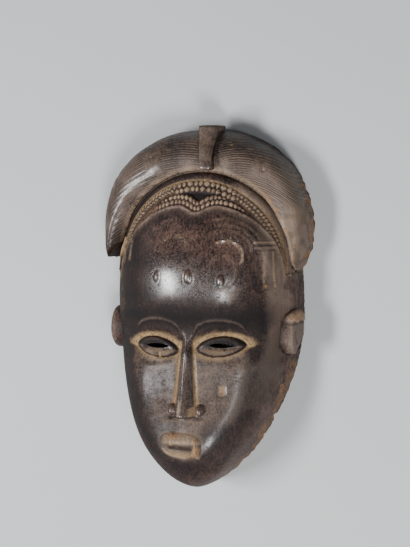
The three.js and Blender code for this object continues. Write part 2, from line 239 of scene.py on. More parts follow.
class MASK_PG_braid(PropertyGroup):
    bead_pitch: length("Bead pitch", "Distance between the large beads along a row", 5.4)
    fine_pitch: length("Fine bead pitch", "Distance between the small beads along a row", 3.7)
    bead_proud: length("Bead height", "How far the beads stand above their ground", 1.7)
    ground_depth: length("Ground depth", "How deep the ground of the band lies", 1.5)
    band_proud: length("Band height", "Height of the plain band beside the hair", 2.0)


class MASK_PG_face(PropertyGroup):
    lid_length: length("Lid length", "Length of an eye over its lids", 37)
    lid_height: length("Lid height", "Height of an eye over its lids", 15.5)
    lid_proud: length("Lid height above socket", "How far the lids stand out", 3.0)
    slit_length: length("Slit length", "Length of the cut through each eye", 20)
    slit_height: length("Slit height", "Height of the cut through each eye", 3.8)
    socket_depth: length("Socket depth", "Depth of the sunken ring around each eye", 3.2)
    brow_proud: length("Brow height", "Height of the thin brow lines", 1.3)
    nose_top_width: length("Nose width at the top", "Width of the nose between the eyes", 9)
    nose_tip_width: length("Nose width at the tip", "Width of the nose above the nostrils", 17)
    nose_top_proud: length("Nose height at the top", "How far the nose stands out at the top", 4)
    nose_tip_proud: length("Nose height at the tip", "How far the nose stands out at the tip", 10)
    mouth_width: length("Mouth width", "Width of the mouth block", 35)
    mouth_height: length("Mouth height", "Height of the mouth block", 20.5)
    mouth_proud: length("Mouth height above the face", "How far the mouth stands out", 5)
    ear_length: length("Ear length", "Length of the ears along the head", 35)
    ear_height: length("Ear depth", "Depth of the ears from front to back", 31)


class MASK_PG_finish(PropertyGroup):
    dark: colour("Dark wood", "The blackened wood", (0.0105, 0.0062, 0.0055))
    brown: colour("Brown wood", "Where the blackening has thinned", (0.057, 0.03, 0.023))
    red_brown: colour("Side wood", "The redder wood of the side walls", (0.13, 0.072, 0.056))
    # The film colour also paints sheen on the right of the forehead and the right cheek crease, and light on
    # the upper right side wall
    film: colour("Film", "A dry grey-brown film on the handled wood", (0.17, 0.122, 0.094))
    ochre: colour("Ochre dirt", "Dry dirt in the carving", (0.36, 0.235, 0.12))
    # The dust colour is also a painted highlight on the forehead arcs and on the lower lip's rim
    dust: colour("Rubbed dust", "Pale dust rubbed onto raised carving", (0.38, 0.265, 0.175))
    bare: colour("Bare wood", "Wood laid bare at worn edges", (0.37, 0.2, 0.1))
    inside: colour("Inside wood", "The plain wood of the hollow", (0.11, 0.058, 0.03))
    # The soot colour also paints shade: on the brow, beside the slits and the forehead marks, under the nose,
    # at the chin and on the shaded side walls
    soot: colour("Soot", "The black in deep cuts and on the brow", (0.006, 0.005, 0.006))
    grain_depth: length("Grain depth", "Depth of the fine grain", 0.12)
    gloss: factor("Gloss", "How polished the handled surfaces are", 1.0)


# The highest settings of the lights and of the room
MOST_POWER = 100.0
MOST_AMBIENT = 5.0


class MASK_PG_stage(PropertyGroup):
    floor: colour("Floor", "The pale floor", (0.535, 0.555, 0.565))
    key_power: factor("Key light", "Power of the light on the left", 20.5, MOST_POWER)
    fill_power: factor("Fill light", "Power of the light on the right", 1.8, MOST_POWER)
    front_power: factor("Front light", "Power of the light below the chin", 14.0, MOST_POWER)
    ambient: factor("Ambient", "Brightness of the surrounding room", 0.15, MOST_AMBIENT)
    yaw: tilt("Camera yaw", "Turn of the camera to the right of the face", 20)
    pitch: tilt("Camera pitch", "Turn of the camera towards the crest", 4.5)
    distance: length("Camera distance", "Distance from the camera to the back edge", 1300)


# Settings, the order in which they are shown, and the groups that hold them
SETTINGS = {
    "mask_head": MASK_PG_head,
    "mask_hair": MASK_PG_hair,
    "mask_braid": MASK_PG_braid,
    "mask_face": MASK_PG_face,
    "mask_finish": MASK_PG_finish,
    "mask_stage": MASK_PG_stage,
}


# Reading and writing meshes

def read_vectors(mesh, kind):
    """The places ("co") or the normals ("normal") of a mesh's vertices, as the mesh holds them."""
    flat = np.empty(len(mesh.vertices) * 3)
    mesh.vertices.foreach_get(kind, flat)
    return flat.reshape(-1, 3)


def read_points(mesh):
    """The vertices of a mesh, in millimetres."""
    return read_vectors(mesh, "co") / MM


def write_points(mesh, points):
    """Moves the vertices of a mesh to places in millimetres."""
    mesh.vertices.foreach_set("co", (points * MM).ravel())
    mesh.update()


def write_marks(mesh, marks):
    """Stores each wear mark as a number on every vertex."""
    for name in MARKS:
        values = marks.get(name, np.zeros(len(mesh.vertices)))
        layer = mesh.attributes.new(name, "FLOAT", "POINT")
        layer.data.foreach_set("value", np.clip(values, 0, 1).astype(np.float32))


# Wear marks: dirt in the carving, dust rubbed onto raised carving that is also a painted highlight on
# some lines, bare wood, polish, redder side wood, blackened hollows with painted shade in shaded places,
# a grey-brown film that is also a painted sheen and painted light on some faces, the plain inside, how
# deep the combed lines are, and the number of combed lines passed as a share of STRAND_COUNT
MARKS = ("dirt", "dust", "bare", "polish", "side", "soot", "film", "inside", "comb", "strand")
STRAND_COUNT = 200


def to_object(bm, name):
    """Turns a bmesh into an object at the origin."""
    mesh = bpy.data.meshes.new(name)
    bm.to_mesh(mesh)
    bm.free()
    piece = bpy.data.objects.new(name, mesh)
    bpy.context.scene.collection.objects.link(piece)
    return piece


def face_outwards(mesh):
    """Turns all faces of a closed mesh outwards."""
    bm = bmesh.new()
    bm.from_mesh(mesh)
    bmesh.ops.recalc_face_normals(bm, faces=bm.faces)
    bm.to_mesh(mesh)
    bm.free()


def refine(bm, needed, place):
    """Splits the faces of a flat grid wherever the placed surface needs more detail."""
    bm.verts.index_update()
    bm.faces.index_update()
    wanted = needed(place(np.array([vert.co[:] for vert in bm.verts])))
    split = [any(wanted[vert.index] for vert in face.verts) for face in bm.faces]
    edges = [edge for edge in bm.edges if any(split[face.index] for face in edge.link_faces)]
    bmesh.ops.subdivide_edges(bm, edges=edges, cuts=1, use_grid_fill=True)


def settle(bm):
    """Puts edges and faces in an order that follows their vertices, the same in every run."""
    bm.verts.index_update()
    count = len(bm.verts)

    def order(part):
        number = 0
        for index in sorted(vert.index for vert in part.verts)[:3]:
            number = number * count + index
        return number

    bm.edges.sort(key=order)
    bm.faces.sort(key=order)


def skirted_grid(name, cells, place, details=()):
    """A closed body from a grid over -1 to 1: its rim is drawn down and capped, then it is placed."""
    bm = bmesh.new()
    bmesh.ops.create_grid(bm, x_segments=cells[0], y_segments=cells[1], size=1)
    for needed in details:
        refine(bm, needed, place)
    rim = [edge for edge in bm.edges if edge.is_boundary]
    skirt = bmesh.ops.extrude_edge_only(bm, edges=rim)["geom"]
    foot = [item for item in skirt if isinstance(item, bmesh.types.BMVert)]
    bmesh.ops.translate(bm, verts=foot, vec=(0, 0, -1))
    settle(bm)
    bmesh.ops.edgeloop_fill(bm, edges=[edge for edge in bm.edges if edge.is_boundary])
    piece = to_object(bm, name)
    write_points(piece.data, place(read_vectors(piece.data, "co")))
    face_outwards(piece.data)
    return piece


def combine(target, other, operation):
    """Joins or cuts two closed bodies and keeps the result in the first."""
    modifier = target.modifiers.new(operation, "BOOLEAN")
    modifier.object = other
    modifier.operation = operation
    modifier.solver = "MANIFOLD"
    graph = bpy.context.evaluated_depsgraph_get()
    joined = bpy.data.meshes.new_from_object(target.evaluated_get(graph))
    target.modifiers.clear()
    target.data = joined
    bpy.data.objects.remove(other)
    if not joined.polygons:
        raise RuntimeError("a joined body has no faces")


def drop_crumbs(piece):
    """Removes the tiny loose bodies that joins can leave beside the main one."""
    bm = bmesh.new()
    bm.from_mesh(piece.data)
    seen = set()
    bodies = []
    for first in bm.faces:
        if first.index in seen:
            continue
        seen.add(first.index)
        body = [first]
        for face in body:
            for edge in face.edges:
                for other in edge.link_faces:
                    if other.index not in seen:
                        seen.add(other.index)
                        body.append(other)
        bodies.append(body)
    bodies.sort(key=len)
    crumbs = [face for body in bodies[:-1] for face in body]
    bmesh.ops.delete(bm, geom=crumbs, context="FACES")
    bm.to_mesh(piece.data)
    bm.free()


# The plan of the head and the hair

def disc(flat, half_x, half_y):
    """Turns a square grid into an ellipse, and gives each point's share of the radius."""
    p, q = flat[:, 0], flat[:, 1]
    u = p * np.sqrt(1 - q * q / 2) * half_x
    v = q * np.sqrt(1 - p * p / 2) * half_y
    return u, v, np.minimum(1, np.hypot(u / half_x, v / half_y))


def outline_norm(x, y, half_x, half_y, power):
    """1 on a superellipse with the given half sizes."""
    return (np.abs(x / half_x) ** power + np.abs(y / half_y) ** power) ** (1 / power)


def upward(x, y):
    """How far a point lies in the upright direction: 1 straight up, -1 straight down."""
    return y / np.maximum(np.hypot(x, y), 1e-6)


def head_norm(head, x, y, inset=0.0):
    """1 on the head's outline, which narrows to the chin, less so on the left."""
    steep = upward(x, y) ** 2
    narrowing = JAW_NARROWING * np.where(x > 0, 1.0, LEFT_JAW_SHARE)
    power = np.where(y > 0, HEAD_TOP_POWER, JAW_POWER - narrowing * steep * (1 - 0.4 * steep))
    half_y = np.where(y > 0, head.top, head.chin) - inset
    return outline_norm(x, y, head.half_width - inset, half_y, power)


def head_crown(head, y):
    """Height of the head along its middle."""
    return (head.face_height
            + head.forehead_bulge * bell(y, FOREHEAD_Y, FOREHEAD_SPREAD)
            - EYE_DIP * bell(y, EYE_DIP_Y, EYE_DIP_SPREAD)
            + head.chin_rise * smooth_step(CHIN_RISE_FROM, CHIN_RISE_TO, y))


def head_height(head, x, y, t, drop=0.0):
    """Height of the head's dome; its section grows squarer towards the chin."""
    rise = upward(x, y)
    power = np.where(rise > 0, 2.25 - 0.15 * rise ** 2, 2.25 + CHIN_SQUARENESS * np.abs(rise) ** 3.3)
    return (head_crown(head, y) - drop) * (1 - np.clip(t, 0, 1) ** power) ** (1 / power)


def place_dome(flat, norm, height, half_x, half_y, last_angle, floor):
    """Lays a skirted grid over an outline as a dome."""
    u, v, radius = disc(flat, half_x, half_y)
    on_top = flat[:, 2] > -0.5
    t = np.where(on_top, np.sin(radius * last_angle), radius)
    scale = t / np.maximum(norm(u, v), 1e-6)
    x, y = u * scale, v * scale
    z = np.where(on_top, height(x, y, t), floor)
    return np.stack([x, y, z], axis=1)


def hair_norm(hair, x, y):
    """1 on the outer edge of the hair."""
    v = y - HAIR_WIDEST_Y
    half_y = np.where(v > 0, hair.top - HAIR_WIDEST_Y, HAIR_BELOW_WIDEST)
    below = np.where(x < 0, LEFT_LOBE_POWER, RIGHT_LOBE_POWER)
    return outline_norm(x, v, hair.half_width, half_y, np.where(v > 0, HAIR_TOP_POWER, below))


def hair_height(hair, x, y, t):
    """Height of the hair, with a rounder edge at the top than at the sides."""
    v = y - HAIR_WIDEST_Y
    rise = np.maximum(0, upward(x, v))
    crown = hair.height + hair.top_rise * rise ** 2
    power = HAIR_TOP_SECTION + np.where(x > 0, HAIR_RIGHT_SQUARENESS, HAIR_LEFT_SQUARENESS) * (1 - rise ** 2)
    return crown * (1 - np.clip(t, 0, 1) ** power) ** (1 / power)


def hairline(angle):
    """The arch between hair and forehead, straight below its centre."""
    inside = np.clip(angle, 0, math.pi)
    below = np.minimum(0, np.minimum(angle, math.pi - angle)) * HAIRLINE_HALF_WIDTH
    y = HAIRLINE_CENTRE_Y + HAIRLINE_RISE * np.sin(inside) + below
    x = midline(y) + HAIRLINE_SHIFT + HAIRLINE_HALF_WIDTH * np.cos(inside)
    return x, y


def band_place(x, y):
    """A point's distance from the hairline and along it, measured on the surface."""
    across = (x - midline(y) - HAIRLINE_SHIFT) / HAIRLINE_HALF_WIDTH
    up = np.maximum(0, y - HAIRLINE_CENTRE_Y) / HAIRLINE_RISE
    radius = np.maximum(np.hypot(across, up), 1e-6)
    angle = np.arctan2(up, across)
    mean = HAIRLINE_HALF_WIDTH * np.cos(angle) ** 2 + HAIRLINE_RISE * np.sin(angle) ** 2
    inset = (1 - radius) * mean
    depth = inset / (0.5 + 0.5 * np.sin(angle))
    below = np.maximum(0, HAIRLINE_CENTRE_Y - y) * np.sign(across)
    along = (math.pi / 2 - angle) * HAIRLINE_HALF_WIDTH + below
    return depth, along


def forehead_line(x, y):
    """A point's distance above the pointed line under the band, and along it."""
    def line(side):
        reach = np.minimum(0.995, np.abs(side) / FOREHEAD_LINE_HALF_WIDTH)
        arch = (1 - reach ** 2.2) ** (1 / 2.2)
        notch = FOREHEAD_NOTCH * bell(side, 0, FOREHEAD_NOTCH_WIDTH)
        return FOREHEAD_LINE_CENTRE_Y + FOREHEAD_LINE_RISE * arch - notch

    side = x - midline(y)
    slope = line(side + 0.5) - line(side - 0.5)
    above = (y - line(side)) / np.sqrt(1 + slope ** 2)
    steps = np.linspace(-FOREHEAD_LINE_HALF_WIDTH, FOREHEAD_LINE_HALF_WIDTH, 400)
    rises = np.hypot(np.diff(steps), np.diff(line(steps)))
    lengths = np.concatenate([[0], np.cumsum(rises)])
    along = np.interp(side, steps, lengths - lengths[-1] / 2)
    return above, along


# Carving on the head: each function adds its relief and its wear marks

# Relief fades out over this height above the back edge, so that the back stays flat
BACK_HELD = 6.0


class Carving:
    """Relief and wear marks gathered for the points of one body.

    The relief is in millimetres: up along Z, out along the surface's normal, and broken level
    inwards. The wear marks run from 0 to 1.
    """

    def __init__(self, piece):
        self.mesh = piece.data
        self.points = read_points(self.mesh)
        self.x, self.y, self.z = self.points.T
        self.up, self.out, self.broken = np.zeros((3, len(self.points)))
        self.marks = {name: np.zeros(len(self.points)) for name in MARKS}

    def mark(self, name, amount):
        """Raises a wear mark to at least this amount."""
        self.marks[name] = np.maximum(self.marks[name], amount)

    def wear(self, place, **shares):
        """Raises several wear marks over the same place, each by its own share."""
        for name, share in shares.items():
            self.mark(name, share * place)

    def clear(self, name, amount):
        """Takes this share of a wear mark away."""
        self.marks[name] = self.marks[name] * (1 - amount)

    def break_edge(self, chips, edge, name, share, start, end):
        """Breaks chips out of a side edge and marks the broken wood."""
        for chip_y, size, deep in chips:
            chip = bell(self.y, chip_y + 2 * np.sin(self.z * 0.3 + chip_y), size) * edge
            self.broken += deep * chip
            self.mark(name, share * smooth_step(start, end, chip))

    def apply(self, keep_back=False):
        """Moves the vertices and stores the marks; the flat back can be kept flat."""
        points = self.points
        normals = read_vectors(self.mesh, "normal")
        hold = smooth_step(0.0, BACK_HELD, self.z) if keep_back else np.ones(len(points))
        level = normals[:, :2] / np.maximum(np.hypot(normals[:, 0], normals[:, 1]), 0.3)[:, None]
        moved = points + normals * (self.out * hold)[:, None]
        moved[:, 2] += self.up * hold
        moved[:, :2] -= level * self.broken[:, None]
        write_points(self.mesh, moved)
        write_marks(self.mesh, self.marks)


def bead_row(along, across, pitch, width, shift):
    """A row of rounded diamond beads, each a little different; 1 on top, 0 between."""
    place = along / pitch + shift + 0.12 * np.sin(along * 0.37 + shift)
    number = np.floor(place)
    u = (place - number - 0.5) * 2
    size = 0.86 + 0.14 * np.sin(number * 12.9898 + shift * 7.3)
    reach = outline_norm(u, across, 1, width / 2, 1.5)
    return size * np.clip(1 - reach ** 2, 0, 1) ** 0.75


# The braided band, by distance below the hair: the plain band, the thin line and the rows of beads
BAND_CENTRE = 3.8
BAND_HALF_WIDTH = 2.9
THIN_LINE = 7.0
LARGE_ROWS = (9.4, 13.8)
SMALL_ROWS = (9.0, 12.2)
STRAND_PITCH = 4.0

# The lower rows of beads, by distance above the forehead line
LOWER_ROWS = (3.0, 7.0)


def carve_band(c, braid):
    """The braided band: a plain band, a thin line and rows of beads down to the forehead line."""
    depth, along = band_place(c.x, c.y)
    above, line_along = forehead_line(c.x, c.y)
    inside = smooth_step(-0.6, 0.3, depth) * smooth_step(-0.5, 0.5, above)
    inside = inside * smooth_step(5, 18, c.y)
    c.out -= braid.ground_depth * inside
    reach = smooth_step(104, 92, np.abs(along))

    band = np.clip(1 - ((depth - BAND_CENTRE) / BAND_HALF_WIDTH) ** 2, 0, 1) ** 0.5
    c.out += braid.band_proud * band * inside
    groove = window(depth, -0.6, 1.0, 0.8)
    c.mark("dust", 0.5 * groove * inside)
    line = bell(depth, THIN_LINE, 0.55)
    c.out += 0.7 * line * inside
    c.mark("dirt", 0.7 * window(depth, 6.5, 7.6, 0.4) * inside)

    beads = np.zeros_like(c.x)
    coarse = smooth_step(-27, -23, along)
    small = smooth_step(34, 44, along)
    for row, centre in enumerate(LARGE_ROWS):
        rows = bead_row(along, depth - centre, braid.bead_pitch, 5.1, 0.5 * row)
        beads = np.maximum(beads, rows * coarse * (1 - small))
        rows = bead_row(along, depth - centre + 1.2 * row, braid.fine_pitch, 3.6, 0.5 * row)
        beads = np.maximum(beads, 0.7 * reach * rows * small)
    for row, centre in enumerate(SMALL_ROWS):
        slanted = along + (1.1 - 2.2 * row) * (depth - centre)
        rows = bead_row(slanted, depth - centre, braid.fine_pitch, 4.0, 0.5 * row)
        beads = np.maximum(beads, 0.8 * reach * rows * (1 - coarse))
    free = smooth_step(16.0, 17.2, depth)
    middle = smooth_step(-42, -34, line_along) * smooth_step(50, 42, line_along)
    for row, centre in enumerate(LOWER_ROWS):
        rows = bead_row(line_along, above - centre, braid.fine_pitch, 4.3, 0.5 * row)
        beads = np.maximum(beads, free * reach * rows * middle)
    plain = (1 - middle) * smooth_step(15.0, 17.0, depth) * smooth_step(8.0, 5.0, above)
    c.out += (braid.bead_proud * beads + 0.9 * plain) * inside
    c.mark("dirt", 0.45 * plain * inside)
    c.mark("dust", smooth_step(0.12, 0.6, beads) * inside)
    c.mark("dirt", 0.5 * window(depth, 7.5, 15.5, 0.8) * smooth_step(0.25, 0.0, beads) * inside)

    # The bare lens between the upper and the lower rows is cut deepest
    lens = free * smooth_step(9.0, 10.2, above)
    c.out -= 1.2 * lens * inside
    c.mark("soot", lens * inside)
    c.mark("soot", 0.45 * inside * (1 - plain) * smooth_step(0.3, 0.05, beads) * smooth_step(7.2, 8.0, depth))

    # Below the beads the band runs on as plain grooved strands
    strands = (1 - reach) * smooth_step(8, 22, c.y)
    wave = np.cos(depth * 2 * math.pi / STRAND_PITCH)
    c.out += 0.8 * strands * inside * wave
    c.mark("dirt", 0.6 * strands * inside * smooth_step(0, -0.9, wave))

    ridge = bell(above, -0.9, 1.0) * smooth_step(12, 26, c.y) * smooth_step(-1, 2, depth)
    c.out += 0.5 * ridge
    c.mark("soot", 0.6 * window(above, -9, -4, 2) * smooth_step(26, 50, c.y))
    c.mark("film", 0.5 * window(above, -4, -0.5, 2) * smooth_step(12, 26, c.y))
    c.mark("dust", 0.6 * bell(above, -0.4, 0.9) * smooth_step(12, 26, c.y) * smooth_step(0, 3, depth))
    c.clear("polish", inside)


# Thin curved lines cut in the forehead: centre, half sizes, first and last angle in degrees,
# height, and how light the line is painted (dust with a painted highlight on its crest, painted shade beside
# it)
FOREHEAD_ARCS = (
    ((-9, 51), (11, 9.5), 20, 150, 0.35, 0.5),
    ((3, 53), (7, 6), 40, 150, 0.16, 0.2),
    ((32, 44), (13.5, 13), -12, 115, 1.1, 1.0),
    ((31, 33), (11, 13), -60, 150, 0.3, 0.2),
    ((30, 45), (21, 20), 15, 110, 0.35, 0.3),
    ((29, 45), (25.5, 24.5), 25, 105, 0.35, 0.3),
    ((28, 45), (30, 29), 30, 100, 0.3, 0.25),
)


# The bulge of the forehead: middle, half sizes and height
BULGE_CENTRE = (2, 48)
BULGE_HALF_SIZE = (62, 41)
BULGE_HEIGHT = 2.4

# The swell at the right of the forehead, which holds the second glare and a painted sheen: place, size and
# height
SWELL_PLACE = (34, 14)
SWELL_SIZE = 15
SWELL_HEIGHT = 0.9

# Half sizes and height of the raised marks
MARK_HALF_SIZE = (2.7, 5.2)
MARK_HEIGHT = 1.6


def carve_forehead(c):
    """The bulging forehead with its three raised marks and thin arcs."""
    across = c.x - BULGE_CENTRE[0] - MIDLINE_LEAN * c.y
    reach = outline_norm(across, c.y - BULGE_CENTRE[1], *BULGE_HALF_SIZE, 2.4)
    c.up += BULGE_HEIGHT * np.clip(1 - reach ** 2.2, 0, 1) ** 1.3
    c.mark("polish", smooth_step(1.12, 0.8, reach))
    # Painted shade: the soot colour darkens the band between the forehead bulge and the eyes
    c.mark("soot", bell(c.y, -5, 12) * smooth_step(74, 60, np.abs(c.x)))
    wide = smooth_step(66, 40, np.abs(c.x))
    c.up += (2.2 * smooth_step(-14, 12, c.y) * smooth_step(80, 40, c.y) - 1.4 * bell(c.y, -12, 10)) * wide
    c.clear("polish", smooth_step(-26, -46, c.x))
    # Painted shade: the soot colour darkens the left side of the forehead
    c.mark("soot", 0.8 * smooth_step(-24, -48, c.x) * window(c.y, -14, 56, 14) * smooth_step(24, 40, c.z))
    c.mark("side", smooth_step(28, 60, c.y + 0.25 * c.x) * smooth_step(1.15, 0.9, reach))

    swell = bell(np.hypot(c.x - SWELL_PLACE[0], c.y - SWELL_PLACE[1]), 0, SWELL_SIZE)
    c.up += SWELL_HEIGHT * swell
    # Painted sheen: the film colour lightens the swell where the glare falls
    c.mark("film", 0.5 * swell)
    for (cx, cy), (rx, ry), first, last, height, light in FOREHEAD_ARCS:
        dx, dy = (c.x - cx) / rx, (c.y - cy) / ry
        angle = np.degrees(np.arctan2(dy, dx))
        off = (np.hypot(dx, dy) - 1) * min(rx, ry)
        here = window(angle, first, last, 14)
        c.out += 1.3 * height * here * (bell(off, 0, 0.9) - 0.8 * bell(off, 1.5, 0.9))
        # Painted shade beside each arc; the dust along its crest is partly a painted highlight
        c.mark("soot", 0.5 * light * here * bell(off, 1.7, 0.9))
        c.mark("dust", light * here * bell(off, 0, 1.0))

    for cx, cy, size in MARK_PLACES:
        dx = (c.x - cx) / (MARK_HALF_SIZE[0] * size)
        dy = (c.y - cy) / (MARK_HALF_SIZE[1] * size)
        dx = dx * (1 + 0.35 * np.clip(dy, -1, 1))
        r = np.hypot(dx, dy)
        c.out += MARK_HEIGHT * size * np.clip(1 - r ** 2, 0, 1) ** 0.7 - 0.4 * bell(r, 1.2, 0.2)
        c.mark("side", 0.8 * smooth_step(1.0, 0.5, r))
        c.mark("dust", 0.25 * smooth_step(0.9, 0.3, r))
        # Painted shadow on the lower left rim of each mark
        c.mark("soot", 0.8 * bell(r, 1.1, 0.16) * smooth_step(0.5, -0.6, dx + dy) * size)


# The almond of an eye: the curve of its edge, how far out a point is looked for, and how often
# the search halves the distance
ALMOND_POWER = 1.48
ALMOND_FAR = 12.0
ALMOND_HALVINGS = 26


def almond_reach(dx, dy, half_length, half_height):
    """1 on the outline of an almond, 0 at its centre."""
    low = np.zeros_like(dx)
    high = np.full_like(dx, ALMOND_FAR)
    for _ in range(ALMOND_HALVINGS):
        middle = (low + high) / 2
        across = np.abs(dx) / (half_length * middle)
        up = np.abs(dy) / (half_height * middle)
        outside = across ** 2 + up ** ALMOND_POWER > 1
        low = np.where(outside, middle, low)
        high = np.where(outside, high, middle)
    return (low + high) / 2


def slit_centre(sign):
    """The middle of the cut through one eye."""
    x = SLIT_X[0] if sign < 0 else SLIT_X[1]
    return x, EYE_LEVEL + EYE_TILT * x + SLIT_RISE


def carve_eye(c, face, sign):
    """An almond eye like a split bean, in a sunken ring that holds ochre dirt, under a thin brow."""
    centre_x = midline(EYE_LEVEL) + sign * EYE_X
    centre_y = EYE_LEVEL + EYE_TILT * centre_x - LID_DROP
    side = np.abs(c.x - midline(c.y))
    ring = np.hypot((side - EYE_X) / (SOCKET_LENGTH / 2),
                    (c.y - EYE_LEVEL - EYE_TILT * c.x) / (SOCKET_HEIGHT / 2))
    here = (c.x - midline(c.y)) * sign > 0
    socket = smooth_step(1.25, 0.75, ring) * here
    low = smooth_step(-6, 6, c.y - EYE_LEVEL - EYE_TILT * c.x)
    c.up -= face.socket_depth * socket * (SOCKET_LOW_SHARE + (1 - SOCKET_LOW_SHARE) * low)

    near = here & (ring < 2)
    dx = c.x[near] - centre_x
    dy = c.y[near] - centre_y - sign * EYE_SLANT * dx
    dy = np.where(dy > 0, dy * 0.94, dy * 1.06)
    reach = np.full(len(c.x), 9.0)
    reach[near] = almond_reach(dx, dy, face.lid_length / 2, face.lid_height / 2)
    upper = smooth_step(-1.5, 1.5, c.y - centre_y)
    body = np.clip(1 - np.minimum(reach, 1) ** 2.2, 0, 1) ** 0.55
    c.up += face.lid_proud * body * (0.85 + 0.3 * upper)
    rim = bell(reach, 0.84, 0.12)
    c.up += (0.5 + 0.2 * upper) * rim * here
    c.up -= 0.7 * bell(reach, 1.06, 0.06) * here
    c.mark("soot", 0.8 * bell(reach, 1.0, 0.08) * (1 - 0.4 * upper) * here)

    # Both lids roll in towards the slit
    slit_x, slit_y = slit_centre(sign)
    gap = np.hypot((c.x - slit_x) / (face.slit_length / 2 + 3), (c.y - slit_y) / (face.slit_height / 2 + 1.6))
    c.up -= 1.3 * smooth_step(1.25, 0.5, gap) * (1 - 0.5 * upper)
    # Painted shade where the lids roll into the slit, darkest above it
    c.mark("soot", smooth_step(1.9, 1.25, gap) * smooth_step(-1.5, 0.5, c.y - slit_y))
    if sign < 0:
        nick = bell(c.x, -23.5, 1.5) * smooth_step(-31.5, -33.5, c.y) * smooth_step(1.15, 1.0, reach)
        c.up -= 1.8 * nick
        c.mark("dirt", 0.9 * nick)

    around = smooth_step(1.03, 1.1, reach) * here
    c.mark("dirt", 0.6 * smooth_step(1.3, 0.7, ring) * around)
    c.mark("dirt", smooth_step(1.5 + 0.35 * upper, 1.15, reach) * around * (0.75 + 0.25 * upper))
    c.mark("dirt", 0.6 * smooth_step(2.2, 1.3, reach) * around * smooth_step(0, 14, -sign * (c.x - centre_x)))
    c.mark("soot", 0.55 * smooth_step(0.8, 0.6, reach) * upper)
    c.mark("polish", 0.35 * smooth_step(1.0, 0.9, reach) * upper)
    c.mark("film", 0.6 * smooth_step(1.0, 0.9, reach) * smooth_step(0.6, 0.75, reach) * upper)
    c.mark("film", 0.4 * smooth_step(0.98, 0.9, reach) * (1 - upper))
    c.mark("dirt", 0.45 * smooth_step(0.95, 0.8, reach) * (1 - upper))

    brow_x = c.x - midline(c.y) - sign * (EYE_X - 0.5)
    across = np.clip(brow_x / BROW_HALF_SPAN, -1.15, 1.15)
    line_y = BROW_Y + BROW_RISE * np.sqrt(np.clip(1 - 0.9 * across ** 2, 0, 1))
    off = c.y - line_y
    fade = smooth_step(1.12, 0.95, np.abs(across)) * here
    c.up += face.brow_proud * bell(off, 0, 2.2) * fade
    c.up -= 0.6 * bell(off, -3.8, 2.8) * fade
    # The film on the brow crest is partly a painted highlight, and the soot colour below it is painted shade
    c.mark("film", 0.55 * bell(off, 0.2, 1.6) * fade)
    c.clear("soot", 0.5 * bell(off, 0.2, 1.6) * fade)
    c.mark("soot", 0.85 * bell(off, -3.4, 2.4) * fade)
    c.clear("dirt", smooth_step(-6, -4, off) * fade)


# The balls at the tip of the nose: distance from the ridge, half sizes and height
BALL_OFFSET = 11.6
BALL_HALF_SIZE = (3.6, 4.6)
BALL_HEIGHT = 4.6


def carve_nose(c, face):
    """A long straight nose with a sharp ridge and a small ball on each side of its tip."""
    along = (NOSE_TOP_Y - c.y) / (NOSE_TOP_Y - NOSE_TIP_Y)
    inside = np.clip(along, 0, 1)
    middle = midline(c.y) + NOSE_SWAY * inside ** 2
    half = (face.nose_top_width + (face.nose_tip_width - face.nose_top_width) * inside ** 1.3) / 2
    proud = face.nose_top_proud + (face.nose_tip_proud - face.nose_top_proud) * inside ** 1.1
    side = np.abs(c.x - middle) / half
    sharp = 1 - (np.sqrt(side ** 2 + 0.012) - 0.11)
    section = np.clip(0.55 * sharp + 0.45 * (1 - side ** 3), 0, 1) * (side < 1.15)
    ends = smooth_step(-0.16, 0.22, along) * smooth_step(1.035, 0.985, along)
    c.up += proud * section * ends
    c.wear(smooth_step(1.1, 0.8, side) * ends, polish=1, film=0.35)
    c.clear("dirt", smooth_step(1.0, 0.75, side) * ends)
    foot = bell(side, 1.18, 0.2) * smooth_step(0.02, 0.12, along) * smooth_step(1.05, 0.95, along)
    c.up -= 0.5 * foot
    beside = smooth_step(2.3, 1.0, side) * smooth_step(0.85, 1.05, side)
    c.mark("dirt", 0.82 * beside * window(along, 0.05, 0.97, 0.06))

    tip_y = NOSE_TIP_Y + 5
    tip_x = midline(tip_y) + NOSE_SWAY + 1
    for sign in (-1, 1):
        across = (c.x - tip_x - sign * BALL_OFFSET) / BALL_HALF_SIZE[0]
        up = (c.y - tip_y) / BALL_HALF_SIZE[1]
        ball = np.clip(1 - across ** 2 - up ** 2, 0, 1) ** 0.5
        c.up += BALL_HEIGHT * ball
        c.clear("dirt", 0.85 * smooth_step(0.1, 0.4, ball))
        c.wear(smooth_step(0.2, 0.5, ball), side=1, soot=0.35, polish=1)
    c.mark("dust", 0.8 * bell(c.x, tip_x - 3.2, 1.5) * window(c.y, tip_y - 3, tip_y + 6, 3))
    facet = bell(c.x, tip_x + 5.6, 2.2) * window(c.y, tip_y - 3.5, tip_y + 1.5, 2)
    c.wear(facet, dirt=0.95, dust=0.6)
    # Painted shadow under the nose tip
    under = window(c.x - tip_x, -14, 14, 2) * bell(c.y, NOSE_TIP_Y - 0.8, 1.1)
    c.mark("soot", 0.7 * under)
    c.mark("dirt", 0.4 * window(c.x - tip_x, -15, 15, 3) * bell(c.y, NOSE_TIP_Y - 4, 2.6))
    c.up -= 0.5 * under


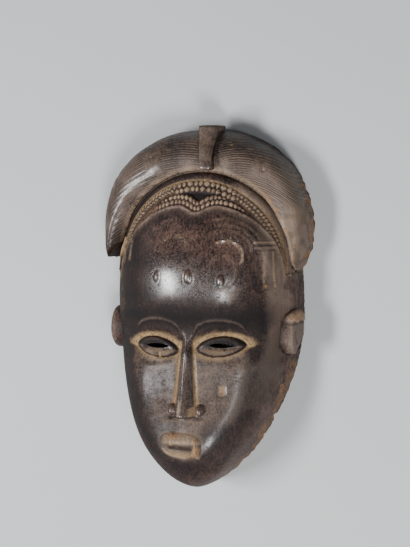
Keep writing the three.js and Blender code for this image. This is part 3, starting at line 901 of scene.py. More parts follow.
def carve_mouth(c, face):
    """A block mouth with a straight slit between two short lips."""
    dx = (c.x - MOUTH_X) / (face.mouth_width / 2)
    dy = (c.y - MOUTH_Y) / (face.mouth_height / 2)
    narrow = 1 + 0.16 * np.clip(-dy, 0, 1) ** 2
    corner = 1 + 0.3 * np.clip(-dx, 0, 1) * np.clip(-dy, 0, 1)
    reach = outline_norm(dx * narrow, dy, 1, 1, 3.4) * corner
    block = np.clip(1 - reach ** 3.4, 0, 1) ** 0.8
    c.up += face.mouth_proud * block
    lips = np.exp(-((dy - 0.45) / 0.36) ** 2) + np.exp(-((dy + 0.6) / 0.32) ** 2)
    c.up += 0.9 * lips * block
    slit_y = MOUTH_Y - 0.6 - 0.035 * (c.x - MOUTH_X)
    slit = window(c.x, MOUTH_X - 7, MOUTH_X + 9, 4) * bell(c.y, slit_y, 1.15)
    c.up -= 2.6 * slit
    # Painted shade in the slit and in a soft band around it, in the soot and red-brown side colours
    c.mark("soot", 0.95 * slit)
    shade = window(c.x, MOUTH_X - 13, MOUTH_X + 10, 3) * bell(c.y, slit_y - 0.6, 2.8)
    c.wear(shade, side=1, soot=0.25)
    c.mark("film", smooth_step(1.4, 0.9, reach))
    on_block = smooth_step(1.08, 0.9, reach) * smooth_step(-1.0, -0.65, dx) * (1 - shade)
    c.mark("dust", 0.75 * on_block * smooth_step(0.1, 0.3, dy))
    c.mark("dirt", 0.8 * on_block * smooth_step(0.2, -0.2, dy))
    # Dust along the lower lip's rim, partly a painted highlight
    c.mark("dust", bell(reach, 0.88, 0.14) * window(dx, -0.85, 0.2, 0.2) * (dy < -0.2))
    right_stroke = bell(dx, 0.8, 0.13) * window(dy, -0.95, 0.5, 0.15)
    left_stroke = bell(dx, -0.36, 0.1) * window(dy, 0.1, 0.95, 0.15)
    strokes = np.maximum(right_stroke, left_stroke)
    nick = bell(dx, 0.61, 0.05) * window(dy, -0.9, 0.5, 0.1)
    c.up += 0.9 * strokes - 0.8 * nick
    c.mark("bare", strokes)
    c.mark("dust", 0.7 * bell(dx, 0.84, 0.06) * right_stroke)
    c.mark("dust", 0.7 * bell(dx, -0.34, 0.05) * left_stroke)
    c.mark("soot", 0.6 * nick)
    c.mark("bare", 0.85 * window(dx, -0.6, -0.1, 0.12) * window(dy, 0.6, 0.95, 0.15))
    c.mark("soot", 0.35 * smooth_step(-0.6, -0.98, dx) * smooth_step(1.25, 0.95, reach))
    c.mark("polish", 0.3 * smooth_step(1.0, 0.85, reach) * (1 - slit))


# The old chip in the right cheek: place, half sizes and depth
CHIP_PLACE = (29.0, -62.5)
CHIP_HALF_SIZE = (3.2, 4.6)
CHIP_DEPTH = 0.7


def carve_cheeks(c):
    """Flat cheeks with a soft crease from the eye corners to the chin, and one old chip."""
    side = np.abs(c.x - midline(c.y))
    c.up -= CHEEK_DEPTH * bell(side, CHEEK_X, 15) * bell(c.y, CHEEK_Y, 22)
    crease_x = 47.5 - 0.30 * (-46 - c.y) - 0.0018 * np.clip(-46 - c.y, 0, 99) ** 2
    off = side - crease_x
    fade = window(c.y, -112, -48, 14)
    c.up += 1.6 * bell(off, -1, 13) * fade
    plane = smooth_step(4, -4, off) * window(c.y, -116, -38, 9)
    right = smooth_step(-6, 4, c.x - midline(c.y))
    c.mark("polish", plane * (0.1 + 0.2 * right))
    c.mark("polish", 0.3 * bell(off, -6, 9) * window(c.y, -84, -54, 14) * (1 - right))
    c.out += 0.07 * ripple(np.stack([c.x, c.y], axis=1), 8, 21) * plane
    c.mark("polish", 0.9 * bell(off, 1, 11) * fade * right)
    c.mark("film", plane * (0.32 + 0.2 * right))
    # Painted sheen: the film colour lightens the right cheek crease
    c.mark("film", 0.8 * bell(off, 2, 9) * window(c.y, -84, -46, 12) * right)

    reach = outline_norm(c.x - CHIP_PLACE[0], c.y - CHIP_PLACE[1], *CHIP_HALF_SIZE, 4)
    chip = smooth_step(1.2, 0.8, reach)
    c.out -= CHIP_DEPTH * chip
    c.wear(chip, dirt=0.62, dust=0.3)
    c.mark("soot", 0.5 * bell(c.x, 25, 1.5) * window(c.y, -68, -58, 2))
    c.clear("polish", chip)


def cut_line(c, start, end, width, depth, here):
    """A straight raised line between two points with a groove beside it; gives 1 along the line."""
    run = np.hypot(end[0] - start[0], end[1] - start[1])
    ax, ay = (end[0] - start[0]) / run, (end[1] - start[1]) / run
    along = (c.x - start[0]) * ax + (c.y - start[1]) * ay
    across = (c.y - start[1]) * ax - (c.x - start[0]) * ay
    ends = window(along, 0, run, 1.0) * here
    line = bell(across, 0, width / 2) * ends
    c.out += depth * (line - bell(across, -0.9 * width, width / 2) * ends)
    return line


# Lines cut in the temples: first and last point, width, height, dirt
RIGHT_TEMPLE_LINES = (
    ((52, 55.3), (63.5, 55), 1.9, 0.6, 0.5),
    ((53, 51), (64.2, 51.3), 1.9, 0.6, 0.35),
    ((63.6, 48), (66.4, 20), 1.5, 0.5, 0.45),
    ((66.6, 44), (68.6, 24), 1.4, 0.4, 0.3),
)
LEFT_TEMPLE_LINES = (
    ((-61.5, 60), (-54, 58.6), 1.8, 0.6, 0.4),
    ((-62, 56.7), (-52, 55.4), 1.8, 0.6, 0.4),
    ((-62.5, 53.2), (-51, 54), 1.8, 0.6, 0.35),
    ((-63.5, 54), (-69, 33), 2.0, 0.6, 0.75),
    ((-66, 56), (-73.5, 36), 2.0, 0.6, 0.75),
    ((-64.5, 50), (-64.8, 34), 1.8, 0.5, 0.6),
    ((-60.5, 46), (-60.6, 36), 1.6, 0.4, 0.45),
)


def carve_temples(c):
    """Short ticks and upright strands cut in each temple, with a tan strip beside them."""
    for sign, lines in ((1, RIGHT_TEMPLE_LINES), (-1, LEFT_TEMPLE_LINES)):
        here = (c.x * sign > 0) & (c.y > 8) & (c.y < 70)
        for start, end, width, depth, dirt in lines:
            line = cut_line(c, start, end, width, depth, here)
            c.wear(dirt * line, dirt=1.4, dust=0.5)
    strip = bell(c.x, 59.2 + 0.02 * (49 - c.y), 0.7 + 0.035 * np.clip(c.y - 20, 0, 30))
    c.mark("dust", 0.75 * strip * window(c.y, 22, 48, 3))
    c.out -= 0.35 * strip * window(c.y, 22, 48, 3)
    strip = bell(c.x, -53.5, 1.5) * window(c.y, 40, 51, 2)
    c.mark("dust", 0.6 * strip)
    c.mark("bare", 0.95 * bell(c.x, 61, 1.7) * bell(c.y, 20.5, 3.2))
    c.mark("dirt", 0.36 * smooth_step(-52, -62, c.x) * window(c.y, 0, 50, 12) * smooth_step(18, 34, c.z))


# Where the right edge of the head is broken: height up the mask, half length, depth
RIM_CHIPS = (
    (-63, 1.2, 0.5), (-89, 1.6, 1.5), (-92.5, 2.4, 0.8), (-107, 1.2, 0.6),
    (-121, 1.4, 0.5), (-128, 1.8, 1.3), (-132, 3.2, 1.0), (-139, 2.0, 0.8),
)


def carve_sides(c, head):
    """Redder side walls with a worn, chipped edge on the right."""
    t = head_norm(head, c.x, c.y)
    c.mark("side", smooth_step(0.8, 0.97, t))
    c.clear("polish", smooth_step(0.84, 0.95, t))
    # Painted light: the film colour lightens the upper right side wall
    upper_right = smooth_step(15, 45, c.x) * smooth_step(-110, -30, c.y)
    c.mark("film", 0.85 * smooth_step(0.72, 0.84, t) * upper_right)
    right = (c.x > 0) & (c.y < 30)
    low = smooth_step(34, 20, c.z + 4 * np.sin(c.y * 0.21) + 2 * np.sin(c.y * 0.53 + 1))
    c.mark("bare", 0.66 * low * right * smooth_step(-24, -50, c.y))
    c.mark("dirt", 0.42 * low * right * smooth_step(-20, -50, c.y))
    c.mark("side", low * right)
    c.clear("film", low * right)
    # Painted shade at the bottom of the chin, along the lower sides and over the left side wall
    c.mark("soot", 0.75 * smooth_step(-113, -122, c.y) * smooth_step(1.0, 0.85, t))
    c.mark("soot", 0.6 * smooth_step(0.62, 0.75, t) * smooth_step(1.0, 0.92, t) * smooth_step(10, -30, c.y))
    c.mark("soot", 0.8 * smooth_step(0.7, 0.85, t) * (c.x < 0))

    # Chips broken out of the right edge
    rough_edge = right * smooth_step(24, 6, c.z) * smooth_step(4, 12, c.x)
    c.broken += 0.25 * np.sin(c.y * 0.9 + c.z * 0.7) * np.sin(c.y * 0.31 + 0.8) * rough_edge
    c.break_edge(RIM_CHIPS, rough_edge, "dust", 0.6, 0.5, 0.9)


def carve_head(c, head, braid, face):
    """All relief and wear of the head."""
    carve_sides(c, head)
    carve_cheeks(c)
    carve_forehead(c)
    for sign in (-1, 1):
        carve_eye(c, face, sign)
    carve_nose(c, face)
    carve_mouth(c, face)
    carve_temples(c)
    carve_band(c, braid)


def fine_zone(points):
    """Where the head carries its finest carving."""
    x, y = points[:, 0], points[:, 1]
    depth, _ = band_place(x, y)
    above, _ = forehead_line(x, y)
    side = x - midline(y)
    band = (depth > -1.5) & (above > -3.5) & (y > 12)
    eyes = np.hypot((np.abs(side) - EYE_X) / 25, (y + 25) / 20) < 1
    nose = (np.abs(side) < 17.5) & (y < -16) & (y > -91)
    mouth = (np.abs(x - MOUTH_X) < 20) & (np.abs(y - MOUTH_Y) < 14.5)
    temples = (np.abs(x) > 47) & (np.abs(x) < 70) & (y > 16) & (y < 66)
    return band | eyes | nose | mouth | temples


def middle_zone(points):
    """Where the head carries softer carving, and around the finest."""
    x, y = points[:, 0], points[:, 1]
    depth, _ = band_place(x, y)
    above, _ = forehead_line(x, y)
    forehead = (above < 2) & (y > 0) & (np.abs(x) < 60)
    band = (depth > -4) & (above > -6) & (y > 5)
    cheeks = (np.abs(x - midline(y)) < 52) & (y < 0) & (y > -122)
    return forehead | band | cheeks | fine_zone(points)


# Cells of the flat grids across and along the mask, before any refinement
HEAD_CELLS = (88, 128)
HOLLOW_CELLS = (44, 72)
CREST_CELLS = (18, 60)
EAR_CELLS = (34, 38)


def make_head(head, braid, face):
    """The head's carved front, with a flat underside."""
    def place(flat):
        return place_dome(
            flat, lambda x, y: head_norm(head, x, y), lambda x, y, t: head_height(head, x, y, t),
            head.half_width, (head.top + head.chin) / 2, LAST_ANGLE, 0.0)

    piece = skirted_grid("head", HEAD_CELLS, place, (middle_zone, fine_zone))
    c = Carving(piece)
    carve_head(c, head, braid, face)
    c.apply(keep_back=True)
    return piece


# The scoops left by the adze in the hollow: width, length and depth
SCOOP_WIDTH = 15
SCOOP_LENGTH = 13
SCOOP_DEPTH = 0.9


def make_hollow(head):
    """The space cut into the back, with the shallow scoops of the adze."""
    def place(flat):
        return place_dome(
            flat, lambda x, y: head_norm(head, x, y, head.wall),
            lambda x, y, t: head_height(head, x, y, t, head.face_thickness + head.wall / 2),
            head.half_width - head.wall, (head.top + head.chin) / 2 - head.wall,
            HOLLOW_LAST_ANGLE, -HOLLOW_OVERCUT)

    piece = skirted_grid("hollow", HOLLOW_CELLS, place)
    c = Carving(piece)
    row = np.floor(c.y / SCOOP_LENGTH)
    across = np.abs(np.sin(math.pi * (c.x / SCOOP_WIDTH + 0.5 * (row % 2))))
    scoop = across * np.abs(np.sin(math.pi * c.y / SCOOP_LENGTH))
    c.out -= SCOOP_DEPTH * (1 - scoop)
    c.mark("inside", 1.0)
    c.apply(keep_back=True)
    return piece


# Cross-section of the hair: points up the inner wall, over the front, down the outside, and back
HAIR_INNER_ROWS = 5
HAIR_FRONT_ROWS = 64
HAIR_FOOT_ROWS = 3
HAIR_COLUMNS = 400

# The cross-sections fan out from a point on the middle line: its height, how far the fan runs past
# the ends of the arch, how far out the edge is looked for, and how often the search halves that
HAIR_FAN_Y = 45.0
HAIR_FAN_PAST = 0.3
HAIR_FAN_REACH = 130.0
HAIR_FAN_HALVINGS = 40

# The front rows lie further apart past this share of the way to the edge: steps there count less
HAIR_EDGE_FROM = 0.975
HAIR_EDGE_STEP = 0.4

# The soft slope by which the hair rises from the forehead: its width and curve, by which share and
# up to which place it narrows on the left, and how far above the head it starts
HAIR_SLOPE = 21
HAIR_SLOPE_POWER = 1.8
HAIR_SLOPE_LEFT_CUT = 0.4
HAIR_SLOPE_LEFT_X = -40
HAIR_EDGE_PROUD = 0.8

# The slope fills up by this share between these heights, on the right only
HAIR_FILL_SHARE = 0.8
HAIR_FILL_TOP = 110
HAIR_FILL_BOTTOM = 60


def hair_sections(head, hair):
    """Where each point of the hair's tube lies, one cross-section for each step along the arch."""
    angle = np.linspace(-HAIR_FAN_PAST, math.pi + HAIR_FAN_PAST, HAIR_COLUMNS + 1)
    inner_x, inner_y = hairline(angle)
    ray = np.stack([inner_x, inner_y - HAIR_FAN_Y], axis=1)
    ray /= np.linalg.norm(ray, axis=1)[:, None]
    far = np.full(len(angle), HAIR_FAN_REACH)
    near = np.zeros(len(angle))
    for _ in range(HAIR_FAN_HALVINGS):
        middle = (far + near) / 2
        outside = hair_norm(hair, ray[:, 0] * middle, HAIR_FAN_Y + ray[:, 1] * middle) > 1
        far = np.where(outside, middle, far)
        near = np.where(outside, near, middle)
    start = np.hypot(inner_x, inner_y - HAIR_FAN_Y)
    reach = np.maximum(far, start + 2)

    w = np.sin(np.linspace(0, math.pi / 2, 500))
    span = start[:, None] + (reach - start)[:, None] * w[None, :]
    x = ray[:, 0, None] * span
    y = HAIR_FAN_Y + ray[:, 1, None] * span
    t = hair_norm(hair, x, y)
    z = hair_height(hair, x, y, t)
    low = head_height(head, inner_x, inner_y, head_norm(head, inner_x, inner_y)) + HAIR_EDGE_PROUD
    fill = HAIR_FILL_SHARE * smooth_step(HAIR_FILL_TOP, HAIR_FILL_BOTTOM, inner_y) * (inner_x > 0)
    drop = np.maximum(0, z[:, 0] - low) * (1 - fill)
    width = HAIR_SLOPE * (1 - HAIR_SLOPE_LEFT_CUT * smooth_step(0, HAIR_SLOPE_LEFT_X, inner_x))
    slope = np.clip(1 - (span - start[:, None]) / width[:, None], 0, 1) ** HAIR_SLOPE_POWER
    z = np.maximum(z - drop[:, None] * slope, 0)
    steps = np.hypot(np.diff(span, axis=1), np.diff(z, axis=1))
    steps *= np.where(t[:, 1:] > HAIR_EDGE_FROM, HAIR_EDGE_STEP, 1.0)
    covered = np.concatenate([np.zeros((len(angle), 1)), np.cumsum(steps, axis=1)], axis=1)
    sections = []
    for column in range(len(angle)):
        wanted = np.linspace(0, covered[column, -1], HAIR_FRONT_ROWS)
        front = np.stack([np.interp(wanted, covered[column], values[column]) for values in (x, y, z)], axis=1)
        up = np.linspace(0, 1, HAIR_INNER_ROWS, endpoint=False)[:, None]
        wall = front[0] * [1, 1, 0] + up * front[0] * [0, 0, 1]
        back = np.linspace(0, 1, HAIR_FOOT_ROWS + 2)[1:-1, None]
        foot = front[-1] * [1, 1, 0] * (1 - back) + wall[0] * back
        sections.append(np.concatenate([wall, front, foot]))
    return np.array(sections)


# Every second combed line is cut this deep in the mesh; the material draws all of them
COMB_CUT = 0.22

# Old knocks on the front of the hair: place and size
HAIR_CHIPS = ((-72, 105, 2.2), (-76, 98, 1.6), (28, 132, 1.6), (55, 112, 1.4), (-40, 122, 1.2))

# Where the right edge of the hair is chipped: height up the mask, half length, depth
HAIR_EDGE_CHIPS = (
    (104, 1.6, 0.8), (98, 2.6, 1.5), (92, 1.2, 0.8), (86, 3.2, 1.3), (71, 1.4, 0.6),
    (59, 3.4, 0.9), (51, 1.3, 0.6), (43, 4.2, 0.9), (28, 3.0, 1.3),
)


def comb_phase(x, y, pitch):
    """Number of combed lines passed; they sweep out and down from the crest."""
    across = x - 9
    right = y - 0.5 * across + 0.0095 * across ** 2
    left = y + 0.26 * across + 0.0064 * across ** 2
    return np.where(across > 0, right, left) / pitch


def make_hair(head, hair):
    """The combed hair around the forehead, cut off below in two lobes."""
    rows = HAIR_INNER_ROWS + HAIR_FRONT_ROWS + HAIR_FOOT_ROWS
    bm = bmesh.new()
    bmesh.ops.create_cone(bm, cap_ends=True, segments=rows, radius1=1, radius2=1, depth=2)
    lengthwise = [edge for edge in bm.edges if abs(edge.verts[0].co.z - edge.verts[1].co.z) > 1]
    bmesh.ops.subdivide_edges(bm, edges=lengthwise, cuts=HAIR_COLUMNS - 1)
    piece = to_object(bm, "hair")
    flat = read_points(piece.data) * MM
    turn = np.arctan2(flat[:, 1], flat[:, 0]) / (2 * math.pi)
    first = turn.min()
    row = np.round((turn - first) * rows).astype(int) % rows
    column = np.round((flat[:, 2] + 1) / 2 * HAIR_COLUMNS).astype(int)
    write_points(piece.data, hair_sections(head, hair)[column, row])
    face_outwards(piece.data)

    c = Carving(piece)
    depth, _ = band_place(c.x, c.y)
    t = hair_norm(hair, c.x, c.y)
    outer = np.maximum(smooth_step(1.0, 0.97, t), smooth_step(10, 40, c.x) * smooth_step(0, 5, c.z))
    front = smooth_step(0.0, -1.5, depth) * outer * (row >= HAIR_INNER_ROWS)
    passed = comb_phase(c.x, c.y, hair.comb_pitch)
    c.marks["strand"] = passed / STRAND_COUNT
    low_right = smooth_step(30, 60, c.x) * smooth_step(96, 70, c.y)
    combed = front * smooth_step(-1.1, 0.4, ripple(c.points, 22, 4)) * (1 - 0.75 * low_right)
    c.mark("comb", combed)
    c.out -= COMB_CUT * combed * (0.5 + 0.5 * np.cos(math.pi * (passed - 0.25)))
    near_seam = smooth_step(-13, -3, depth) * smooth_step(0.5, -1, depth)
    patchy = smooth_step(-0.5, 0.5, ripple(c.points, 9, 9))
    c.mark("bare", 0.75 * front * near_seam * smooth_step(30, 50, c.x) * patchy)
    c.mark("soot", 0.45 * front * low_right * smooth_step(-0.3, 0.5, ripple(c.points, 10, 6)))
    c.out += 0.5 * ripple(c.points, 28, 5) * smooth_step(2, 12, c.z)
    right = smooth_step(-20, 60, c.x)
    lighter = 0.33 * right * smooth_step(128, 96, c.y)
    darker = 0.22 * smooth_step(112, 138, c.y)
    c.mark("film", front * (0.62 + lighter - darker))
    c.mark("dust", 0.4 * window(depth, -3.2, 0.5, 1.5) * (row >= HAIR_INNER_ROWS))
    c.mark("dirt", 0.55 * smooth_step(-12, -2, depth) * smooth_step(20, 50, c.x) * front)
    c.mark("dirt", 0.45 * bell(c.x, 10, 11) * front)
    c.mark("dirt", 0.42 * right * smooth_step(105, 75, c.y) * front)
    # Painted shadow on the lower part of the left lobe
    c.mark("soot", 0.6 * smooth_step(-60, -76, c.x) * smooth_step(80, 55, c.y))
    left_edge = smooth_step(0.955, 0.98, t) * smooth_step(-40, -60, c.x) * smooth_step(10, 25, c.z)
    right_edge = smooth_step(0.9, 0.99, t) * smooth_step(45, 60, c.x) * smooth_step(19, 7, c.z)
    worn = 0.5 + 0.5 * ripple(c.points, 9, 7)
    c.mark("bare", (0.98 * right_edge + 0.43 * left_edge) * worn * smooth_step(128, 108, c.y))
    c.mark("dirt", 0.5 * (right_edge + 0.6 * left_edge) * (1 - worn))
    c.mark("side", smooth_step(0.9, 1.0, t) * (c.x < 0))
    c.mark("polish", front * (0.12 + 0.3 * smooth_step(0, -30, c.x) * smooth_step(-26, -14, depth)))
    rough_edge = smooth_step(0.9, 0.99, t) * smooth_step(45, 60, c.x) * smooth_step(30, 10, c.z)
    c.broken += 0.35 * ripple(c.points, 6, 8) * rough_edge
    c.break_edge(HAIR_EDGE_CHIPS, rough_edge, "bare", 0.8, 0.35, 0.7)
    for chip_x, chip_y, size in HAIR_CHIPS:
        chip = bell(np.hypot(c.x - chip_x, c.y - chip_y), 0, size)
        c.out -= 1.2 * chip
        c.mark("dirt", 0.9 * chip)
    c.apply(keep_back=True)

    bm = bmesh.new()
    bmesh.ops.create_cube(bm, size=2)
    for axis, cuts in ((0, len(LOBE_CUT_X) - 2), (2, 4)):
        across = [edge for edge in bm.edges if abs(edge.verts[0].co[axis] - edge.verts[1].co[axis]) > 1]
        bmesh.ops.subdivide_edges(bm, edges=across, cuts=cuts, use_grid_fill=True)
    for vert in bm.verts:
        x = (vert.co.x + 1) / 2 * (len(LOBE_CUT_X) - 1)
        z = -HOLLOW_OVERCUT + (LOBE_CUT_TOP + HOLLOW_OVERCUT) * (vert.co.z + 1) / 2
        number = round(x)
        cut = LOBE_CUT_Y[number] + LOBE_CUT_SLOPE[number] * max(0, z)
        vert.co = Vector((LOBE_CUT_X[number], cut if vert.co.y > 0 else LOBE_CUT_FAR_Y, z)) * MM
    below = to_object(bm, "below_lobes")
    face_outwards(below.data)
    write_marks(below.data, {})
    combine(piece, below, "DIFFERENCE")
    return piece


def make_crest(hair):
    """The crest: a wedge with rounded edges that widens upwards."""
    def place(flat):
        p, q, level = flat[:, 0], flat[:, 1], flat[:, 2]
        along = (q + 1) / 2
        y = CREST_BOTTOM[1] + (CREST_TOP[1] - CREST_BOTTOM[1]) * along
        end = np.clip(1 - np.abs((np.minimum(along, 0.08) / 0.08) - 1) ** 2.4, 0, 1) ** 0.5
        width = hair.crest_bottom_width + (hair.crest_top_width - hair.crest_bottom_width) * along ** 1.1
        x = CREST_BOTTOM[0] + (CREST_TOP[0] - CREST_BOTTOM[0]) * along + p * width / 2 * (0.55 + 0.45 * end)
        past = np.maximum(0, y - CREST_LEVEL_Y)
        under = y - past + CREST_ROUNDING * (1 - np.exp(-past / CREST_ROUNDING))
        crown = hair_height(hair, x, under, hair_norm(hair, x, under)) + hair.crest_proud
        crown -= 0.9 * np.abs(p) ** 4 + 2.0 * (1 - end) + 1.2 * smooth_step(0.94, 1.0, along) ** 2
        return np.stack([x, y, np.where(level > -0.5, crown, CREST_FOOT)], axis=1)

    piece = skirted_grid("crest", CREST_CELLS, place)
    c = Carving(piece)
    c.out += 0.18 * ripple(c.points, 9, 11)
    c.mark("polish", smooth_step(130, 116, c.y))
    c.mark("film", 0.6)
    side = np.abs(c.x - np.interp(c.y, (CREST_BOTTOM[1], CREST_TOP[1]), (CREST_BOTTOM[0], CREST_TOP[0])))
    half = np.interp(c.y, (CREST_BOTTOM[1], CREST_TOP[1]),
                     (hair.crest_bottom_width / 2, hair.crest_top_width / 2))
    c.mark("dirt", 0.5 * smooth_step(0.9, 1.02, side / half) * smooth_step(-1, 1, half - side + 0.6))
    c.apply()
    return piece


# Each ear: distance of its face from the middle, how far its rim drops, over which share of the
# ear it does, and how square the ear is
EAR_FORMS = {-1: (81.0, 4.5, 0.75, 2), 1: (79.4, 1.2, 0.12, 2.7)}
EAR_ROOT = 65.0


def make_ear(face, sign):
    """A round ear standing out of the side wall; the right one is flat with a worn ledge at its top."""
    outer, drop, soft, power = EAR_FORMS[sign]

    def place(flat):
        u, v, radius = disc(flat, 1.0, 1.0)
        squarer = radius / np.maximum(outline_norm(u, v, 1, 1, power), 1e-6)
        u, v = u * squarer, v * squarer
        y = EAR_Y + v * face.ear_length / 2
        z = EAR_Z + u * face.ear_height / 2
        rim = np.clip(1 - (1 - radius) / soft, 0, 1)
        edge = -drop * (1 - np.sqrt(np.clip(1 - rim ** 2, 0, 1)))
        x = np.where(flat[:, 2] > -0.5, outer + edge, EAR_ROOT)
        return np.stack([sign * x, y, z], axis=1)

    piece = skirted_grid("ear", EAR_CELLS, place)
    c = Carving(piece)
    v = (c.y - EAR_Y) / (face.ear_length / 2)
    u = (c.z - EAR_Z) / (face.ear_height / 2)
    on_face = smooth_step(74, 78, np.abs(c.x))
    c.out += 0.25 * ripple(c.points, 22, 13 + sign)
    c.mark("side", 0.6)
    # The right ear's heavier film is partly a painted sheen
    c.mark("film", 0.85 if sign > 0 else 0.42)
    if sign > 0:
        ledge = smooth_step(0.5, 0.6, v + 0.07 * np.sin(u * 6)) * on_face
        c.out += 1.4 * ledge
        crack = bell(u - 0.55 - 0.5 * v, 0, 0.05) * window(v, -0.45, 0.1, 0.1) * on_face
        c.out -= 0.8 * crack
        cut = -0.62 - 0.55 * np.clip(u + 0.2, -1, 1)
        low = smooth_step(0.06, -0.06, v - cut) * on_face
        c.out -= 2.6 * low
        c.mark("bare", 0.72 * ledge)
        c.mark("dust", ledge)
        c.mark("side", low)
        c.clear("film", low)
        c.mark("soot", crack)
        c.mark("soot", 0.8 * bell(v, 0.45, 0.05) * on_face)
        c.mark("soot", 0.6 * bell(v - cut, 0, 0.06) * on_face)
        c.mark("bare", 0.5 * on_face * bell(u, 0.1, 0.3) * bell(v, 0.15, 0.25))
    c.apply()
    return piece


# The slit cutters: their middle height, how far they reach above and below it, the number of
# their sides and the curve of their edge
SLIT_CUT_MIDDLE = 60
SLIT_CUT_REACH = 50
SLIT_SIDES = 32
SLIT_POWER = 1.35


def make_slit(face, sign):
    """The almond-shaped cutter for one eye."""
    bm = bmesh.new()
    bmesh.ops.create_cone(bm, cap_ends=True, segments=SLIT_SIDES, radius1=1, radius2=1, depth=2)
    slit_x, slit_y = slit_centre(sign)
    for vert in bm.verts:
        rise = abs(vert.co.y) ** SLIT_POWER * (1 if vert.co.y > 0 else -1)
        x = slit_x + vert.co.x * face.slit_length / 2
        y = slit_y + rise * face.slit_height / 2
        vert.co = Vector((x, y, SLIT_CUT_MIDDLE + vert.co.z * SLIT_CUT_REACH)) * MM
    piece = to_object(bm, "slit")
    face_outwards(piece.data)
    # Painted shade: the cut walls inside the slits get the soot colour
    write_marks(piece.data, {"soot": np.ones(len(piece.data.vertices))})
    return piece


# Materials

class Number:
    """A socket's value, on which plain arithmetic adds the Math nodes."""

    def __init__(self, shader, socket):
        self.shader = shader
        self.socket = socket

    def math(self, operation, first, second):
        return self.shader.add("ShaderNodeMath", {"operation": operation}, {0: first, 1: second})

    def __add__(self, other):
        return self.math("ADD", self, other)

    def __radd__(self, other):
        return self.math("ADD", other, self)

    def __sub__(self, other):
        return self.math("SUBTRACT", self, other)

    def __rsub__(self, other):
        return self.math("SUBTRACT", other, self)

    def __mul__(self, other):
        return self.math("MULTIPLY", self, other)

    def __rmul__(self, other):
        return self.math("MULTIPLY", other, self)


class Shader:
    """The node tree of one material."""

    def __init__(self, name):
        self.material = bpy.data.materials.new(name)
        self.material.use_nodes = True
        self.tree = self.material.node_tree
        self.tree.nodes.clear()

    def add(self, kind, settings=None, sockets=None, output=0):
        """Adds a node, applies its settings, feeds its sockets and gives one output."""
        node = self.tree.nodes.new(kind)
        for name, value in (settings or {}).items():
            setattr(node, name, value)
        for name, value in (sockets or {}).items():
            if isinstance(value, Number):
                self.tree.links.new(value.socket, node.inputs[name])
            else:
                node.inputs[name].default_value = value
        return Number(self, node.outputs[output]) if len(node.outputs) else None

    def noise(self, coordinates, scale, detail=2.0, roughness=0.5):
        """Smooth noise from 0 to 1."""
        return self.add(
            "ShaderNodeTexNoise", None,
            {"Vector": coordinates, "Scale": scale, "Detail": detail, "Roughness": roughness})

    def stretched(self, coordinates, scale):
        """Coordinates scaled differently along each axis."""
        return self.add("ShaderNodeMapping", None, {"Vector": coordinates, "Scale": scale})

    def step(self, value, start, end):
        """Rises smoothly from 0 at start to 1 at end."""
        return self.add(
            "ShaderNodeMapRange", {"interpolation_type": "SMOOTHSTEP"},
            {"Value": value, "From Min": start, "From Max": end})

    def mark(self, name):
        """A wear mark stored on the mesh."""
        return self.add("ShaderNodeAttribute", {"attribute_name": name}, None, output=2)

    def math(self, operation, value):
        """A mathematical function of one number."""
        return self.add("ShaderNodeMath", {"operation": operation}, {0: value})

    def mix(self, amount, first, second):
        """A blend of two colours."""
        return self.add("ShaderNodeMix", {"data_type": "RGBA"}, {0: amount, 6: first, 7: second}, output=2)


def rgba(value, brightness=1.0):
    """A colour with full opacity, made brighter or darker."""
    return (*(brightness * part for part in value), 1.0)


# The noises of the wood: how fine each one is, its layers and how rough it is
NOISES = {
    "grain": (620, 4, 0.6),
    "fibre": (1500, 2, 0.6),
    "cloud": (55, 4, 0.6),
    "patch": (170, 5, 0.65),
    "speck": (650, 3, 0.6),
    "fleck": (480, 3, 0.7),
}

# Grain and fibre are drawn out along the mask, where their fineness is only this share
GRAIN_DRAWN_OUT = 0.09


